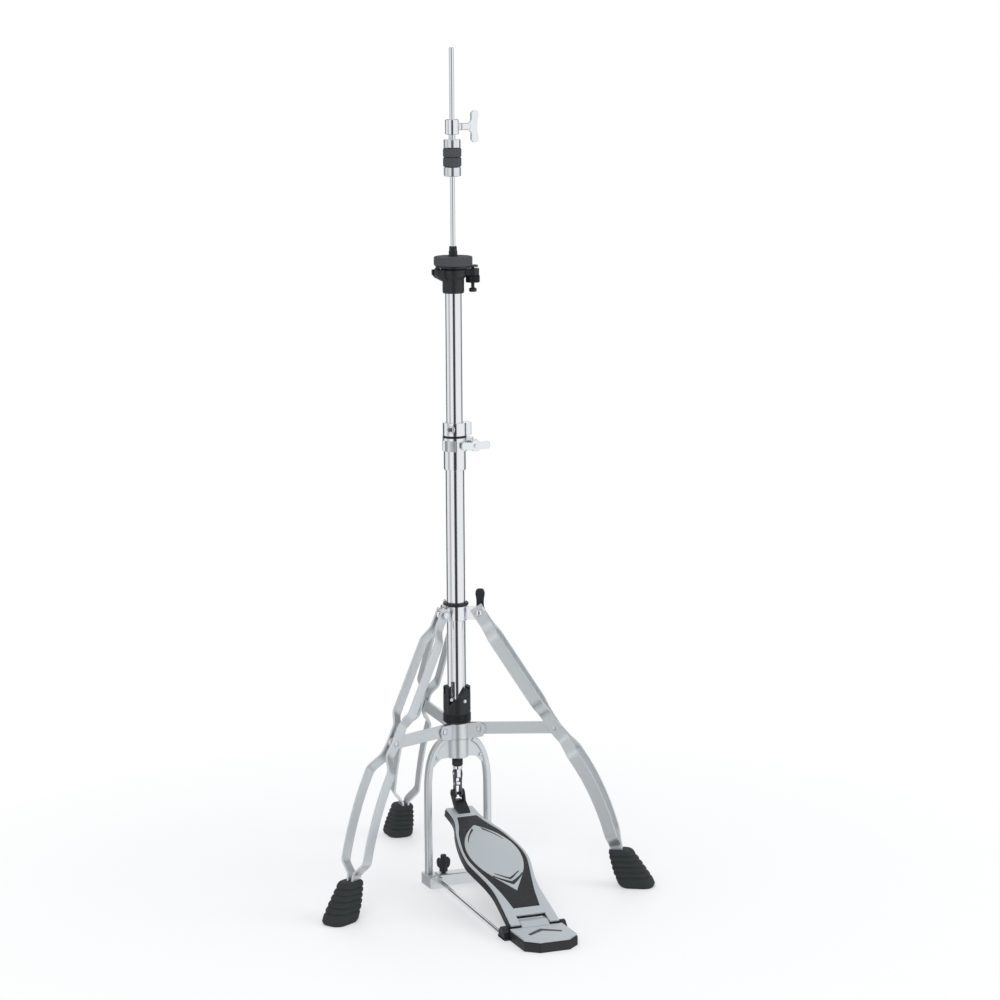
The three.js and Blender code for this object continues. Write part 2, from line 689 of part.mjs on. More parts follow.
const barEnd = 35.2;
const spurX = 30;
const spurY = -13;
const rodStart = [33, -10, 7];
const rodEnd = [39.4, -259.5, 4.6];
function radiusRod(side, r, extra) {
  const a = new THREE.Vector3(side * rodStart[0], rodStart[1] + extra, rodStart[2]);
  const b = new THREE.Vector3(side * rodEnd[0], rodEnd[1] - extra, rodEnd[2]);
  const g = disc(r, 0, a.distanceTo(b), 14);
  const turn = new THREE.Quaternion().setFromUnitVectors(
    new THREE.Vector3(0, 0, 1), b.clone().sub(a).normalize());
  g.applyQuaternion(turn);
  g.translate(a.x, a.y, a.z);
  return g;
}
const footBlock = (side) => plateXY([
  [barEnd - 2, -30], [48, -30], [50, -28], [50, 7], [48, 9], [barEnd + 2, 9], [barEnd - 1, 6],
  [barEnd - 2, -4],
].map(([x, y]) => [side * x, y]), 0, BASE_H);
add("crossbar", cut(
  join(box(-barEnd, barEnd, -22, -4.5, 0, BASE_H + 2), footBlock(-1), footBlock(1)),
  box(-20, 20, -19.5, -7, -1, BASE_H - 0.5),
  moved(disc(3 + GAP, -1, 30, 12), -spurX + 4, spurY, 0),
  moved(disc(3 + GAP, -1, 30, 12), spurX - 4, spurY, 0),
  radiusRod(-1, RADIUS_ROD_R + GAP, 1),
  radiusRod(1, RADIUS_ROD_R + GAP, 1),
), SATIN);
for (const [side, name] of [[-1, "left"], [1, "right"]]) {
  add(`radius_rod_${name}`, radiusRod(side, RADIUS_ROD_R, 0), CHROME);
  const spur = turned([
    [0, 0.6], [1, 0.6], [3, 4], [3, 17.5], [5.6, 17.8], [5.6, 31], [4, 32.5], [4, 41], [0, 41],
  ], 12);
  const grip = box(-9, 9, -2.4, 2.4, 22, 37);
  add(`spur_${name}`, moved(join(spur, grip), side * (spurX - 4), spurY, 0), BLACK);
}

// ---- heel plate and hinge ---------------------------------------------------------------------------
const [hingeY, hingeZ] = HINGE;
const heelOutline = (half, front, tongue, lip) => [
  [-20, front], [20, front], [half, front + 14], [half, hingeY - 10], [tongue, hingeY - 10],
  [tongue, lip], [-tongue, lip], [-tongue, hingeY - 10], [-half, hingeY - 10], [-half, front + 14],
];
const heelSide = (low, top) => [
  [HEEL_Y - 2, low], [0, low], [0, top + 5], [hingeY - 3, top + 5], [hingeY - 11, top],
  [HEEL_Y - 2, top],
];
const lipY = hingeY + 8.8;
add("heel_base", cut(
  join(
    common(plateXY(heelOutline(HEEL_HALF, HEEL_Y, TONGUE_HALF, lipY), -1, 40),
      plateYZ(heelSide(0, 12), -60, 60)),
    box(-43, 43, hingeY - 11, hingeY + 12, 0, 3),
    box(-43, -35.4, hingeY - 9, hingeY + 10, 0, hingeZ + 5),
    box(35.4, 43, hingeY - 9, hingeY + 10, 0, hingeZ + 5),
  ),
  barX(2.5 + GAP, -50, 50, hingeY, hingeZ),
  radiusRod(-1, RADIUS_ROD_R + GAP, GAP),
  radiusRod(1, RADIUS_ROD_R + GAP, GAP),
), BLACK);
add("heel_plate", common(
  plateXY(heelOutline(HEEL_HALF - 0.8, HEEL_Y + 0.8, TONGUE_HALF - 0.4, lipY - 0.4), -1, 40),
  plateYZ([
    [HEEL_Y - 2, 12 + GAP], [hingeY - 11, 12 + GAP], [hingeY - 3, 17 + GAP], [0, 17 + GAP],
    [0, 19.8], [hingeY - 3.2, 19.8], [hingeY - 11.2, 14.8], [HEEL_Y - 2, 14.8],
  ], -60, 60),
), SILVER);
add("hinge_pin", barX(2.5, -44, 44, hingeY, hingeZ), DARK);

// ---- footboard ------------------------------------------------------------------------------------------
const BOARD_HALF = [
  [-6, 33.5], [23, 32.5], [41, 31.8], [63, 31.6], [81, 33.6], [98, 37], [116, 41], [131, 43],
  [149, 42.2], [168, 39.6], [186, 36], [205, 31], [219, 26.2], [231, 22.6], [246, 20.2], [274, 19.5],
];
const INLAY_HALF = [
  [26, 18], [56, 22.3], [86, 29], [112, 35.5], [126, 38.2], [139, 39.2], [152, 38.4], [167, 36],
  [197, 29], [221, 20], [245, 13.5],
];
const BADGE_HALF = [
  [60, 0.4], [76, 10], [93, 20.5], [110, 28.6], [128, 33.4], [146, 34.8], [168, 31.8], [190, 23],
  [205, 13], [219, 0.4],
];
const tilt = rad(BOARD_DEG);
const bow = (s) => Math.max(0, 4 * BOARD_BOW * (s / BOARD_END) * (1 - s / BOARD_END));
const boardPoint = (x, s, n) => [
  x,
  hingeY + s * Math.cos(tilt) - (n + bow(s)) * Math.sin(tilt),
  hingeZ + s * Math.sin(tilt) + (n + bow(s)) * Math.cos(tilt),
];
function boardSlab(table, from, to, shrink, n0, n1, steps) {
  const marks = new Set([from, to]);
  table.forEach(([s]) => {
    if (s > from && s < to) marks.add(s);
  });
  for (let i = 1; i < steps; i += 1) marks.add(from + ((to - from) * i) / steps);
  return loft([...marks].sort((a, b) => a - b).map((s) => {
    const w = Math.max(along(table, s) - shrink, 0.2);
    return [boardPoint(-w, s, n0), boardPoint(w, s, n0), boardPoint(w, s, n1), boardPoint(-w, s, n1)];
  }));
}
const plateLowN = BOARD_TOP - PLATE_T;
const bodyTopN = plateLowN - GAP;
const straight = (half) => [[-20, half], [300, half]];
const knuckle = barX(7.4, -33.5, 33.5, hingeY, hingeZ);
add("footboard_body", cut(
  join(boardSlab(BOARD_HALF, BOARD_START, BOARD_END, 0, -2.5, bodyTopN, 18), knuckle),
  boardSlab(BOARD_HALF, 18, BOARD_END - 8, 3.2, -8, 3.6, 14),
  boardSlab(straight(TONGUE_HALF + 0.6), -20, 12.5, 0, -20, 20, 2),
  boardSlab(BOARD_HALF, -20, 60, -2, bodyTopN, 30, 4),
  barX(2.5 + GAP, -50, 50, hingeY, hingeZ),
), BLACK);
add("footboard_plate", cut(
  boardSlab(BOARD_HALF, BOARD_START + 0.4, BOARD_END - 0.4, 0.7, plateLowN, BOARD_TOP, 18),
  boardSlab(INLAY_HALF, 26, 245, 0, 0, 20, 12),
  boardSlab(straight(TONGUE_HALF + 0.6), -20, 12.5, 0, -20, 20, 2),
), SILVER);
add("footboard_inlay", cut(
  boardSlab(INLAY_HALF, 26 + GAP, 245 - GAP, GAP, plateLowN, BOARD_TOP - 0.4, 12),
  boardSlab(BADGE_HALF, 60, 219, 0, 0, 20, 12),
), BLACK);
add("footboard_badge", boardSlab(BADGE_HALF, 60 + 1, 219 - 1, GAP, plateLowN, BOARD_TOP, 12), SILVER);

// ---- toe bracket and chain link ------------------------------------------------------------------------------
const toeSeat = (s) => boardPoint(0, s, BOARD_TOP + GAP).slice(1);
const toeFork = cut(
  plateYZ([
    toeSeat(252), toeSeat(260), toeSeat(271), ...arc(0, TOE_PIN_Z, 6.2, 0, 180, 8), [-9, TOE_PIN_Z - 9],
    [-20, TOE_PIN_Z - 16],
  ], -8.5, 8.5),
  box(-5.6, 5.6, -30, 20, TOE_PIN_Z - 8, TOE_PIN_Z + 20),
);
add("toe_bracket", join(toeFork, barX(2, -9.6, 9.6, 0, TOE_PIN_Z, 12)), BLACK);
const linkOutline = [
  ...arc(0, LINK_PIN_Z, 5.8, 0, 180, 8), [-3.6, (TOE_PIN_Z + LINK_PIN_Z) / 2],
  ...arc(0, TOE_PIN_Z, 5.8, 180, 360, 8), [3.6, (TOE_PIN_Z + LINK_PIN_Z) / 2],
];
for (const [side, name] of [[-1, "left"], [1, "right"]]) {
  const [x0, x1] = side > 0 ? [3.1, 5.1] : [-5.1, -3.1];
  add(`link_plate_${name}`, cut(
    plateYZ(linkOutline, x0, x1),
    barX(2.2 + GAP, -9, 9, 0, LINK_PIN_Z, 12),
    barX(2.9, -9, 9, 0, TOE_PIN_Z, 12),
  ), DARK);
}
add("clevis", join(
  cut(disc(6.5, LINK_PIN_Z + 3.5, LINK_PIN_Z + 11, 24), disc(ROD_R + GAP, LINK_PIN_Z + 6.5, LINK_PIN_Z + 12, 16),
    box(-7, -2.7, -7, 7, LINK_PIN_Z, LINK_PIN_Z + 6.3), box(2.7, 7, -7, 7, LINK_PIN_Z, LINK_PIN_Z + 6.3)),
  box(-2.7, 2.7, -5, 5, LINK_PIN_Z - 6.5, LINK_PIN_Z + 4.9),
  barX(2.2, -6.4, 6.4, 0, LINK_PIN_Z, 12),
), CHROME);
add("rod_stop", ring(ROD_R + GAP, 7.25, LINK_PIN_Z + 11 + GAP, LINK_PIN_Z + 20.5, 24), BLACK);

// ---- put the footprint on the origin ----------------------------------------------------------------------------
const extent = new THREE.Box3().setFromObject(group);
const centre = extent.getCenter(new THREE.Vector3());
for (const mesh of group.children) {
  mesh.geometry.translate(-centre.x, -centre.y, -extent.min.z);
}

export default group;
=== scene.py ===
"""Looks of a hi-hat stand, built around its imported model."""

import math

import bpy
from mathutils import Matrix, Vector, noise
from mathutils.geometry import tessellate_polygon


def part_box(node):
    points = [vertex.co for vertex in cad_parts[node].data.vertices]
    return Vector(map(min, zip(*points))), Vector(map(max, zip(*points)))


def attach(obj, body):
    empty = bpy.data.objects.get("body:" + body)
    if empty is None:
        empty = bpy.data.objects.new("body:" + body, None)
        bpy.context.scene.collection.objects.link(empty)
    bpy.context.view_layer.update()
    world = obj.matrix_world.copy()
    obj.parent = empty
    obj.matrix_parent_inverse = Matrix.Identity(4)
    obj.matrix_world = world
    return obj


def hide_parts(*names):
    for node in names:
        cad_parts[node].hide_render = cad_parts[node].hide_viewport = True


bl_info = {
    "name": "Hi-hat stand",
    "version": (1, 0, 0),
    "blender": (4, 5, 0),
    "location": "View3D > Sidebar > Stand",
    "description": "Builds the visible pieces of a hi-hat stand and its studio",
    "category": "Add Mesh",
}

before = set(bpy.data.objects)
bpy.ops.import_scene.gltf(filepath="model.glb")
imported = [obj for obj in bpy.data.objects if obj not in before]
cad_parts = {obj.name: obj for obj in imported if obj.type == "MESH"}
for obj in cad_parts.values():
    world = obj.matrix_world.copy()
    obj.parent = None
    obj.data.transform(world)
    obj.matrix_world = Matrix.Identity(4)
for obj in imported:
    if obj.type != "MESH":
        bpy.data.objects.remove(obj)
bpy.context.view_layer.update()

MM = 0.001
AXIS_Y = (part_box("pull_rod")[0][1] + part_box("pull_rod")[1][1]) / 2
LEG_ANGLES = {"left": 210, "right": 330, "back": 90}
LEG_PIVOT = (30.4, 365.0)
STRUT_PIVOT = (31.0, 209.0)
STRUT_END = (130.7, 212.8)
HINGE = (-263.0, 11.0)
BOARD_TILT = math.radians(17.2)
BOARD_END = 274.0
BOARD_TOP = 9.5
BOARD_BOW = 9.0
CAM_WALL = 214.0
CAMERA_BEARING = -20.77
CAMERA_YAW = 0.84
CAMERA_PITCH = 9.649
CAMERA_ROLL = -0.356
CAMERA_DISTANCE = 4000
CAMERA_HEIGHT = 1193.5
CAMERA_LENS = 111.67
ROOM_FRONT = 180 + CAMERA_BEARING
FLOOR_RADIUS = 3.0


# ---- geometry ---------------------------------------------------------------

def turn(degrees, axis="Z"):
    return Matrix.Rotation(math.radians(degrees), 4, axis)


def shift(x, y, z):
    return Matrix.Translation((x, y, z))


ALONG_X = turn(90, "Y")
ALONG_Y = turn(-90, "X")


def arc(cx, cy, r, start, end, steps):
    return [
        (
            cx + r * math.cos(math.radians(start + (end - start) * i / steps)),
            cy + r * math.sin(math.radians(start + (end - start) * i / steps)),
        )
        for i in range(steps + 1)
    ]


def rounded(x0, x1, y0, y1, r, steps=5):
    """Rectangle outline with round corners."""
    return (
        arc(x1 - r, y0 + r, r, -90, 0, steps)
        + arc(x1 - r, y1 - r, r, 0, 90, steps)
        + arc(x0 + r, y1 - r, r, 90, 180, steps)
        + arc(x0 + r, y0 + r, r, 180, 270, steps)
    )


def circle(cx, cy, r, steps=32):
    return arc(cx, cy, r, 0, 360, steps)[:-1]


def star(r, depth, count):
    """Outline of a straight-knurled rim."""
    points = []
    for i in range(count):
        for part, radius in ((0.0, r), (0.3, r), (0.5, r - depth), (0.8, r - depth)):
            a = math.tau * (i + part) / count
            points.append((radius * math.cos(a), radius * math.sin(a)))
    return points


def closed(points, steps=6):
    """Smooth closed outline through points."""
    pts = [Vector(p) for p in points]
    n = len(pts)
    out = []
    for i in range(n):
        p0, p1, p2, p3 = (pts[(i + k) % n] for k in (-1, 0, 1, 2))
        for j in range(steps):
            t = j / steps
            out.append(tuple((
                p1 * 2 + (p2 - p0) * t + (p0 * 2 - p1 * 5 + p2 * 4 - p3) * t * t
                + (p1 * 3 - p0 - p2 * 3 + p3) * t ** 3) / 2))
    return out


def mirrored(points):
    """Half an outline on the positive side of the second axis, made whole."""
    return points + [(a, -b) for a, b in reversed(points)]


def spline(points, count):
    """Points along a centripetal Catmull-Rom curve, evenly spaced."""
    pts = [Vector(p) for p in points]
    pts = [pts[0] * 2 - pts[1]] + pts + [pts[-1] * 2 - pts[-2]]
    dense = []
    for p0, p1, p2, p3 in zip(pts, pts[1:], pts[2:], pts[3:]):
        t0 = 0.0
        t1 = t0 + (p1 - p0).length ** 0.5
        t2 = t1 + (p2 - p1).length ** 0.5
        t3 = t2 + (p3 - p2).length ** 0.5
        for i in range(24):
            t = t1 + (t2 - t1) * i / 24
            a1 = p0 * ((t1 - t) / (t1 - t0)) + p1 * ((t - t0) / (t1 - t0))
            a2 = p1 * ((t2 - t) / (t2 - t1)) + p2 * ((t - t1) / (t2 - t1))
            a3 = p2 * ((t3 - t) / (t3 - t2)) + p3 * ((t - t2) / (t3 - t2))
            b1 = a1 * ((t2 - t) / (t2 - t0)) + a2 * ((t - t0) / (t2 - t0))
            b2 = a2 * ((t3 - t) / (t3 - t1)) + a3 * ((t - t1) / (t3 - t1))
            dense.append(b1 * ((t2 - t) / (t2 - t1)) + b2 * ((t - t1) / (t2 - t1)))
    dense.append(Vector(points[-1]))
    lengths = [0.0]
    for a, b in zip(dense, dense[1:]):
        lengths.append(lengths[-1] + (b - a).length)
    result = []
    j = 0
    for i in range(count + 1):
        want = lengths[-1] * i / count
        while j < len(lengths) - 2 and lengths[j + 1] < want:
            j += 1
        span = lengths[j + 1] - lengths[j]
        u = (want - lengths[j]) / span if span else 0.0
        result.append(dense[j].lerp(dense[j + 1], min(u, 1.0)))
    return result


def along(table, s):
    """Value at a position, read off a list of (position, value) pairs."""
    if s <= table[0][0]:
        return table[0][1]
    for (a, u), (b, v) in zip(table, table[1:]):
        if s <= b:
            return u + (v - u) * (s - a) / (b - a)
    return table[-1][1]


def eased(table, s):
    """As along, with its corners softened over a few millimetres."""
    span = 3.0
    return sum(along(table, s + d * span) * w for d, w in ((-1, 0.25), (0, 0.5), (1, 0.25)))


class Shape:
    """Closed shells in millimetres about the tube axis, gathered into one mesh."""

    def __init__(self):
        self.verts = []
        self.faces = []

    def add(self, verts, faces, place=None):
        base = len(self.verts)
        points = [Vector(v) for v in verts]
        if place is not None:
            points = [place @ p for p in points]
        self.verts += points
        volume = 0.0
        for f in faces:
            for i in range(1, len(f) - 1):
                volume += points[f[0]].dot(points[f[i]].cross(points[f[i + 1]]))
        step = -1 if volume < 0 else 1
        self.faces += [tuple(base + i for i in f[::step]) for f in faces]
        return self

    def loft(self, rings, place=None, looped=False):
        n = len(rings[0])
        faces = []
        spans = len(rings) if looped else len(rings) - 1
        for i in range(spans):
            a = i * n
            b = ((i + 1) % len(rings)) * n
            for j in range(n):
                k = (j + 1) % n
                faces.append((a + j, a + k, b + k, b + j))
        if not looped:
            faces.append(tuple(range(n))[::-1])
            faces.append(tuple((len(rings) - 1) * n + j for j in range(n)))
        return self.add([p for r in rings for p in r], faces, place)

    def spin(self, profile, place=None, segments=72):
        """Turned shell: the profile holds (radius, height) pairs and may close on itself."""
        closed = profile[0] == profile[-1]
        profile = profile[:-1] if closed else profile
        verts = []
        rows = []
        for r, z in profile:
            if r < 1e-6:
                rows.append([len(verts)] * segments)
                verts.append((0, 0, z))
            else:
                rows.append(list(range(len(verts), len(verts) + segments)))
                for i in range(segments):
                    a = math.tau * i / segments
                    verts.append((r * math.cos(a), r * math.sin(a), z))
        faces = []
        pairs = list(zip(rows, rows[1:])) + ([(rows[-1], rows[0])] if closed else [])
        for low, high in pairs:
            for i in range(segments):
                k = (i + 1) % segments
                face = []
                for v in (low[i], low[k], high[k], high[i]):
                    if v not in face:
                        face.append(v)
                if len(face) > 2:
                    faces.append(tuple(face))
        return self.add(verts, faces, place)

    def slab(self, outline, low, high, place=None, holes=()):
        """Outline in X-Y, carried from low to high, with holes through it."""
        loops = [list(outline)] + [list(h) for h in holes]
        flat = [p for loop in loops for p in loop]
        n = len(flat)
        verts = [(x, y, low) for x, y in flat] + [(x, y, high) for x, y in flat]
        faces = []
        if holes:
            area = tessellate_polygon([[Vector((x, y, 0)) for x, y in loop] for loop in loops])
            for a, b, c in area:
                (ax, ay), (bx, by), (cx, cy) = flat[a], flat[b], flat[c]
                if (bx - ax) * (cy - ay) - (by - ay) * (cx - ax) < 0:
                    b, c = c, b
                faces.append((a, c, b))
                faces.append((n + a, n + b, n + c))
        else:
            around = tuple(range(n))
            if sum(x0 * y1 - x1 * y0 for (x0, y0), (x1, y1) in zip(flat, flat[1:] + flat[:1])) < 0:
                around = around[::-1]
            faces.append(around[::-1])
            faces.append(tuple(n + i for i in around))
        start = 0
        for index, loop in enumerate(loops):
            size = len(loop)
            sweep = sum(
                x0 * y1 - x1 * y0 for (x0, y0), (x1, y1) in zip(loop, loop[1:] + loop[:1])
            )
            forward = (sweep > 0) == (index == 0)
            for j in range(size):
                a, b = start + j, start + (j + 1) % size
                if not forward:
                    a, b = b, a
                faces.append((a, b, n + b, n + a))
            start += size
        return self.add(verts, faces, place)

    def bar(self, r, start, end, chamfer=0.0, segments=32):
        """Round bar between two points."""
        a, b = Vector(start), Vector(end)
        length = (b - a).length
        place = Matrix.Translation(a) @ (b - a).to_track_quat("Z", "Y").to_matrix().to_4x4()
        c = min(chamfer, length / 3)
        if c:
            profile = [(0, 0), (r - c, 0), (r, c), (r, length - c), (r - c, length), (0, length)]
        else:
            profile = [(0, 0), (r, 0), (r, length), (0, length)]
        return self.spin(profile, place, segments)

    def sweep(self, section, path, side, place=None):
        """Section carried along a path; side(i) is the section's own X direction there."""
        rings = []
        for i, p in enumerate(path):
            d = (path[min(i + 1, len(path) - 1)] - path[max(i - 1, 0)]).normalized()
            x = side(i)
            x = (x - d * x.dot(d)).normalized()
            y = d.cross(x)
            rings.append([p + x * u + y * v for u, v in section])
        return self.loft(rings, place)

    def cells(self, quads, low, high, place_point):
        """Flat cells (corner pairs) carried from low to high and bent by place_point."""
        index = {}
        flat = []

        def key(p):
            k = (round(p[0], 3), round(p[1], 3))
            if k not in index:
                index[k] = len(flat)
                flat.append(p)
            return index[k]

        faces = []
        edges = {}
        for quad in quads:
            ids = []
            for p in quad:
                i = key(p)
                if i not in ids:
                    ids.append(i)
            if len(ids) < 3:
                continue
            faces.append(ids)
            for a, b in zip(ids, ids[1:] + ids[:1]):
                edges[(a, b)] = edges.get((a, b), 0) + 1
        n = len(flat)
        solid = [tuple(reversed(f)) for f in faces] + [tuple(n + i for i in f) for f in faces]
        solid += [(a, b, n + b, n + a) for a, b in edges if (b, a) not in edges]
        verts = [place_point(x, s, low) for x, s in flat]
        verts += [place_point(x, s, high) for x, s in flat]
        return self.add(verts, solid)

    def piece(self, name, material, body, slot, nodes=(), bevel=0.3, sharp=40, steps=2):
        mesh = bpy.data.meshes.new(name)
        mesh.from_pydata(
            [(v.x * MM, v.y * MM + AXIS_Y, v.z * MM) for v in self.verts], [], self.faces)
        mesh.validate()
        mesh.update()
        mesh.polygons.foreach_set("use_smooth", [True] * len(mesh.polygons))
        obj = bpy.data.objects.new(name, mesh)
        bpy.context.scene.collection.objects.link(obj)
        mesh.materials.append(finish(material))
        if bevel:
            mod = obj.modifiers.new("edges", "BEVEL")
            mod.width = bevel * MM
            mod.segments = steps
            mod.limit_method = "ANGLE"
            mod.angle_limit = math.radians(sharp)
            mod.use_clamp_overlap = True
            mod.harden_normals = False
        else:
            mesh.set_sharp_from_angle(angle=math.radians(sharp))
        normals = obj.modifiers.new("normals", "WEIGHTED_NORMAL")
        normals.keep_sharp = True
        normals.weight = 90
        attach(obj, body)
        if nodes:
            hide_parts(*nodes)
        return obj


def dome(r, height, low=0.0, steps=5):
    """Profile of a low round head."""
    points = [(0, low), (r, low)]
    for i in range(steps + 1):
        a = math.pi / 2 * i / steps
        points.append((r * math.cos(a) if i < steps else 0, low + 0.5 + height * math.sin(a)))
    return points


# ---- finishes ------------------------------------------------------------------

class Nodes:
    """Short way to wire a material."""

    def __init__(self, name):
        self.mat = bpy.data.materials.new(name)
        self.mat.use_nodes = True
        self.tree = self.mat.node_tree
        self.shader = self.tree.nodes["Principled BSDF"]
        self.place = self.new("ShaderNodeTexCoord").outputs["Object"]

    def new(self, kind, **values):
        node = self.tree.nodes.new(kind)
        for key, value in values.items():
            setattr(node, key, value)
        return node

    def link(self, a, b):
        self.tree.links.new(a, b)

    def noise(self, scale, detail=4.0, rough=0.5, stretch=None):
        node = self.new("ShaderNodeTexNoise")
        node.inputs["Scale"].default_value = scale
        node.inputs["Detail"].default_value = detail
        node.inputs["Roughness"].default_value = rough
        source = self.place
        if stretch:
            mapping = self.new("ShaderNodeMapping")
            mapping.inputs["Scale"].default_value = stretch
            self.link(source, mapping.inputs["Vector"])
            source = mapping.outputs["Vector"]
        self.link(source, node.inputs["Vector"])
        return node.outputs["Fac"]

    def cells(self, scale, feature="F1"):
        node = self.new("ShaderNodeTexVoronoi", feature=feature)
        node.inputs["Scale"].default_value = scale
        self.link(self.place, node.inputs["Vector"])
        return node.outputs["Distance"]

    def ramp(self, source, stops):
        node = self.new("ShaderNodeValToRGB")
        ramp = node.color_ramp
        while len(ramp.elements) < len(stops):
            ramp.elements.new(0.5)
        for element, (pos, value) in zip(ramp.elements, stops):
            element.position = pos
            element.color = (*value, 1) if isinstance(value, tuple) else (value, value, value, 1)
        self.link(source, node.inputs["Fac"])
        return node.outputs["Color"]

    def colour(self, source, low, high):
        self.link(self.ramp(source, ((0.3, low), (0.7, high))), self.shader.inputs["Base Color"])

    def rough(self, source, low, high):
        self.link(self.ramp(source, ((0.3, low), (0.7, high))), self.shader.inputs["Roughness"])

    def bump(self, source, strength, distance):
        node = self.new("ShaderNodeBump")
        node.inputs["Strength"].default_value = strength
        node.inputs["Distance"].default_value = distance
        self.link(source, node.inputs["Height"])
        self.link(node.outputs["Normal"], self.shader.inputs["Normal"])
        return node


def shade(colour, factor):
    return tuple(min(c * factor, 1.0) for c in colour)


def make_chrome(name, colour):
    m = Nodes(name)
    m.shader.inputs["Metallic"].default_value = 1.0
    m.colour(m.noise(60, 3), shade(colour, 0.96), shade(colour, 1.0))
    m.rough(m.noise(220, 6, 0.7, (1, 1, 0.25)), 0.04, 0.10)
    m.bump(m.noise(900, 3), 0.02, 0.00004)
    return m.mat


def make_satin(name, colour):
    m = Nodes(name)
    m.shader.inputs["Metallic"].default_value = 1.0
    m.colour(m.noise(140, 4), shade(colour, 0.93), shade(colour, 1.0))
    m.rough(m.noise(500, 5, 0.6), 0.20, 0.27)
    m.bump(m.noise(1200, 3), 0.03, 0.00004)
    return m.mat


def make_black(name, colour):
    m = Nodes(name)
    m.colour(m.noise(90, 4), shade(colour, 0.8), shade(colour, 1.25))
    m.rough(m.noise(300, 5), 0.36, 0.52)
    m.bump(m.cells(1500), 0.22, 0.00010)
    return m.mat


def make_rubber(name, colour):
    m = Nodes(name)
    m.colour(m.noise(160, 6), shade(colour, 0.75), shade(colour, 1.5))
    m.rough(m.noise(420, 4), 0.6, 0.82)
    m.bump(m.noise(1400, 5, 0.65), 0.35, 0.00018)
    m.shader.inputs["Specular IOR Level"].default_value = 0.35
    return m.mat


def make_felt(name, colour):
    m = Nodes(name)
    m.colour(m.noise(460, 7, 0.8), shade(colour, 0.3), shade(colour, 2.6))
    m.shader.inputs["Roughness"].default_value = 0.95
    m.shader.inputs["Sheen Weight"].default_value = 0.35
    m.shader.inputs["Sheen Roughness"].default_value = 0.6
    m.bump(m.noise(1500, 8, 0.8), 0.8, 0.0005)
    return m.mat


def make_silver(name, colour):
    m = Nodes(name)
    m.shader.inputs["Metallic"].default_value = 0.35
    m.colour(m.noise(1900, 3, 0.6), shade(colour, 0.86), shade(colour, 1.12))
    m.rough(m.noise(700, 4), 0.36, 0.5)
    m.bump(m.noise(2600, 3), 0.18, 0.00010)
    return m.mat


def make_dark(name, colour):
    m = Nodes(name)
    m.shader.inputs["Metallic"].default_value = 0.9
    m.colour(m.noise(240, 5), shade(colour, 0.7), shade(colour, 1.3))
    m.rough(m.noise(500, 4), 0.24, 0.4)
    m.bump(m.noise(1600, 4), 0.12, 0.00008)
    return m.mat


def make_grip(name, colour):
    """Black footboard inlay with a fine moulded grain."""
    m = Nodes(name)
    m.colour(m.noise(120, 5), shade(colour, 0.8), shade(colour, 1.2))
    m.rough(m.noise(340, 4), 0.45, 0.62)
    m.bump(m.cells(900), 0.5, 0.00022)
    return m.mat


FINISHES = {
    "chrome": (make_chrome, "chrome_colour"),
    "satin": (make_satin, "satin_colour"),
    "black": (make_black, "plastic_colour"),
    "rubber": (make_rubber, "rubber_colour"),
    "felt": (make_felt, "felt_colour"),
    "silver": (make_silver, "silver_colour"),
    "dark": (make_dark, "dark_colour"),
    "grip": (make_grip, "plastic_colour"),
}


def finish(name):
    made = bpy.data.materials.get(name)
    if made:
        return made
    maker, setting = FINISHES[name]
    return maker(name, tuple(getattr(bpy.context.scene.stand_colours, setting)))


# ---- settings ------------------------------------------------------------------

def colour_property(name, default, description):
    return bpy.props.FloatVectorProperty(
        name=name, description=description, default=default, subtype="COLOR", size=3,
        min=0.0, max=1.0)


def length_property(name, default, description):
    return bpy.props.FloatProperty(
        name=name, description=description, default=default * MM, unit="LENGTH",
        subtype="DISTANCE", precision=5)


class StandColours(bpy.types.PropertyGroup):
    """Colours of the stand's finishes."""

    chrome_colour: colour_property("Chrome", (0.90, 0.91, 0.92), "Plated tubes, nuts and rod")
    satin_colour: colour_property("Satin", (0.78, 0.81, 0.83), "Legs, struts, yoke and posts")
    plastic_colour: colour_property("Plastic", (0.009, 0.010, 0.012), "Black moulded pieces")
    rubber_colour: colour_property("Rubber", (0.009, 0.010, 0.011), "Tripod feet")
    felt_colour: colour_property("Felt", (0.020, 0.022, 0.025), "Seat and clutch felts")
    silver_colour: colour_property("Silver", (0.42, 0.46, 0.49), "Footboard and heel plates")
    dark_colour: colour_property("Dark steel", (0.10, 0.11, 0.12), "Chain links and pins")


class StandSizes(bpy.types.PropertyGroup):
    """Sizes of the stand's visible detail."""

    felt_fuzz: length_property("Felt fuzz", 0.22, "Unevenness of the felt surface")
    rib_depth: length_property("Foot rib depth", 1.5, "Depth of the grooves in the feet")
    strap_width: length_property("Strap width", 16.0, "Width of a leg strap")
    strap_thickness: length_property("Strap thickness", 3.0, "Thickness of a leg strap")
    knurls: bpy.props.IntProperty(
        name="Knurls", description="Teeth round a knurled nut", default=54, min=12, max=120)


def sizes():
    return bpy.context.scene.stand_sizes


# ---- shared parts ------------------------------------------------------------------

FLAT_XZ = turn(90, "X")
FLAT_YZ = Matrix(((0, 0, 1, 0), (1, 0, 0, 0), (0, 1, 0, 0), (0, 0, 0, 1)))


def knurled(shape, r, low, high, bore, chamfer=0.8, place=None, depth=0.45):
    """Straight-knurled nut with chamfered rims and a round bore."""
    count = sizes().knurls
    n = count * 4
    rims = [(low, r - chamfer), (low + chamfer, r), (high - chamfer, r), (high, r - chamfer)]
    rings = [[(x, y, z) for x, y in star(rim, depth, count)] for z, rim in rims]
    hole = circle(0, 0, bore, n)
    rings.insert(0, [(x, y, low) for x, y in hole])
    rings.append([(x, y, high) for x, y in hole])
    return shape.loft(rings, place, looped=True)


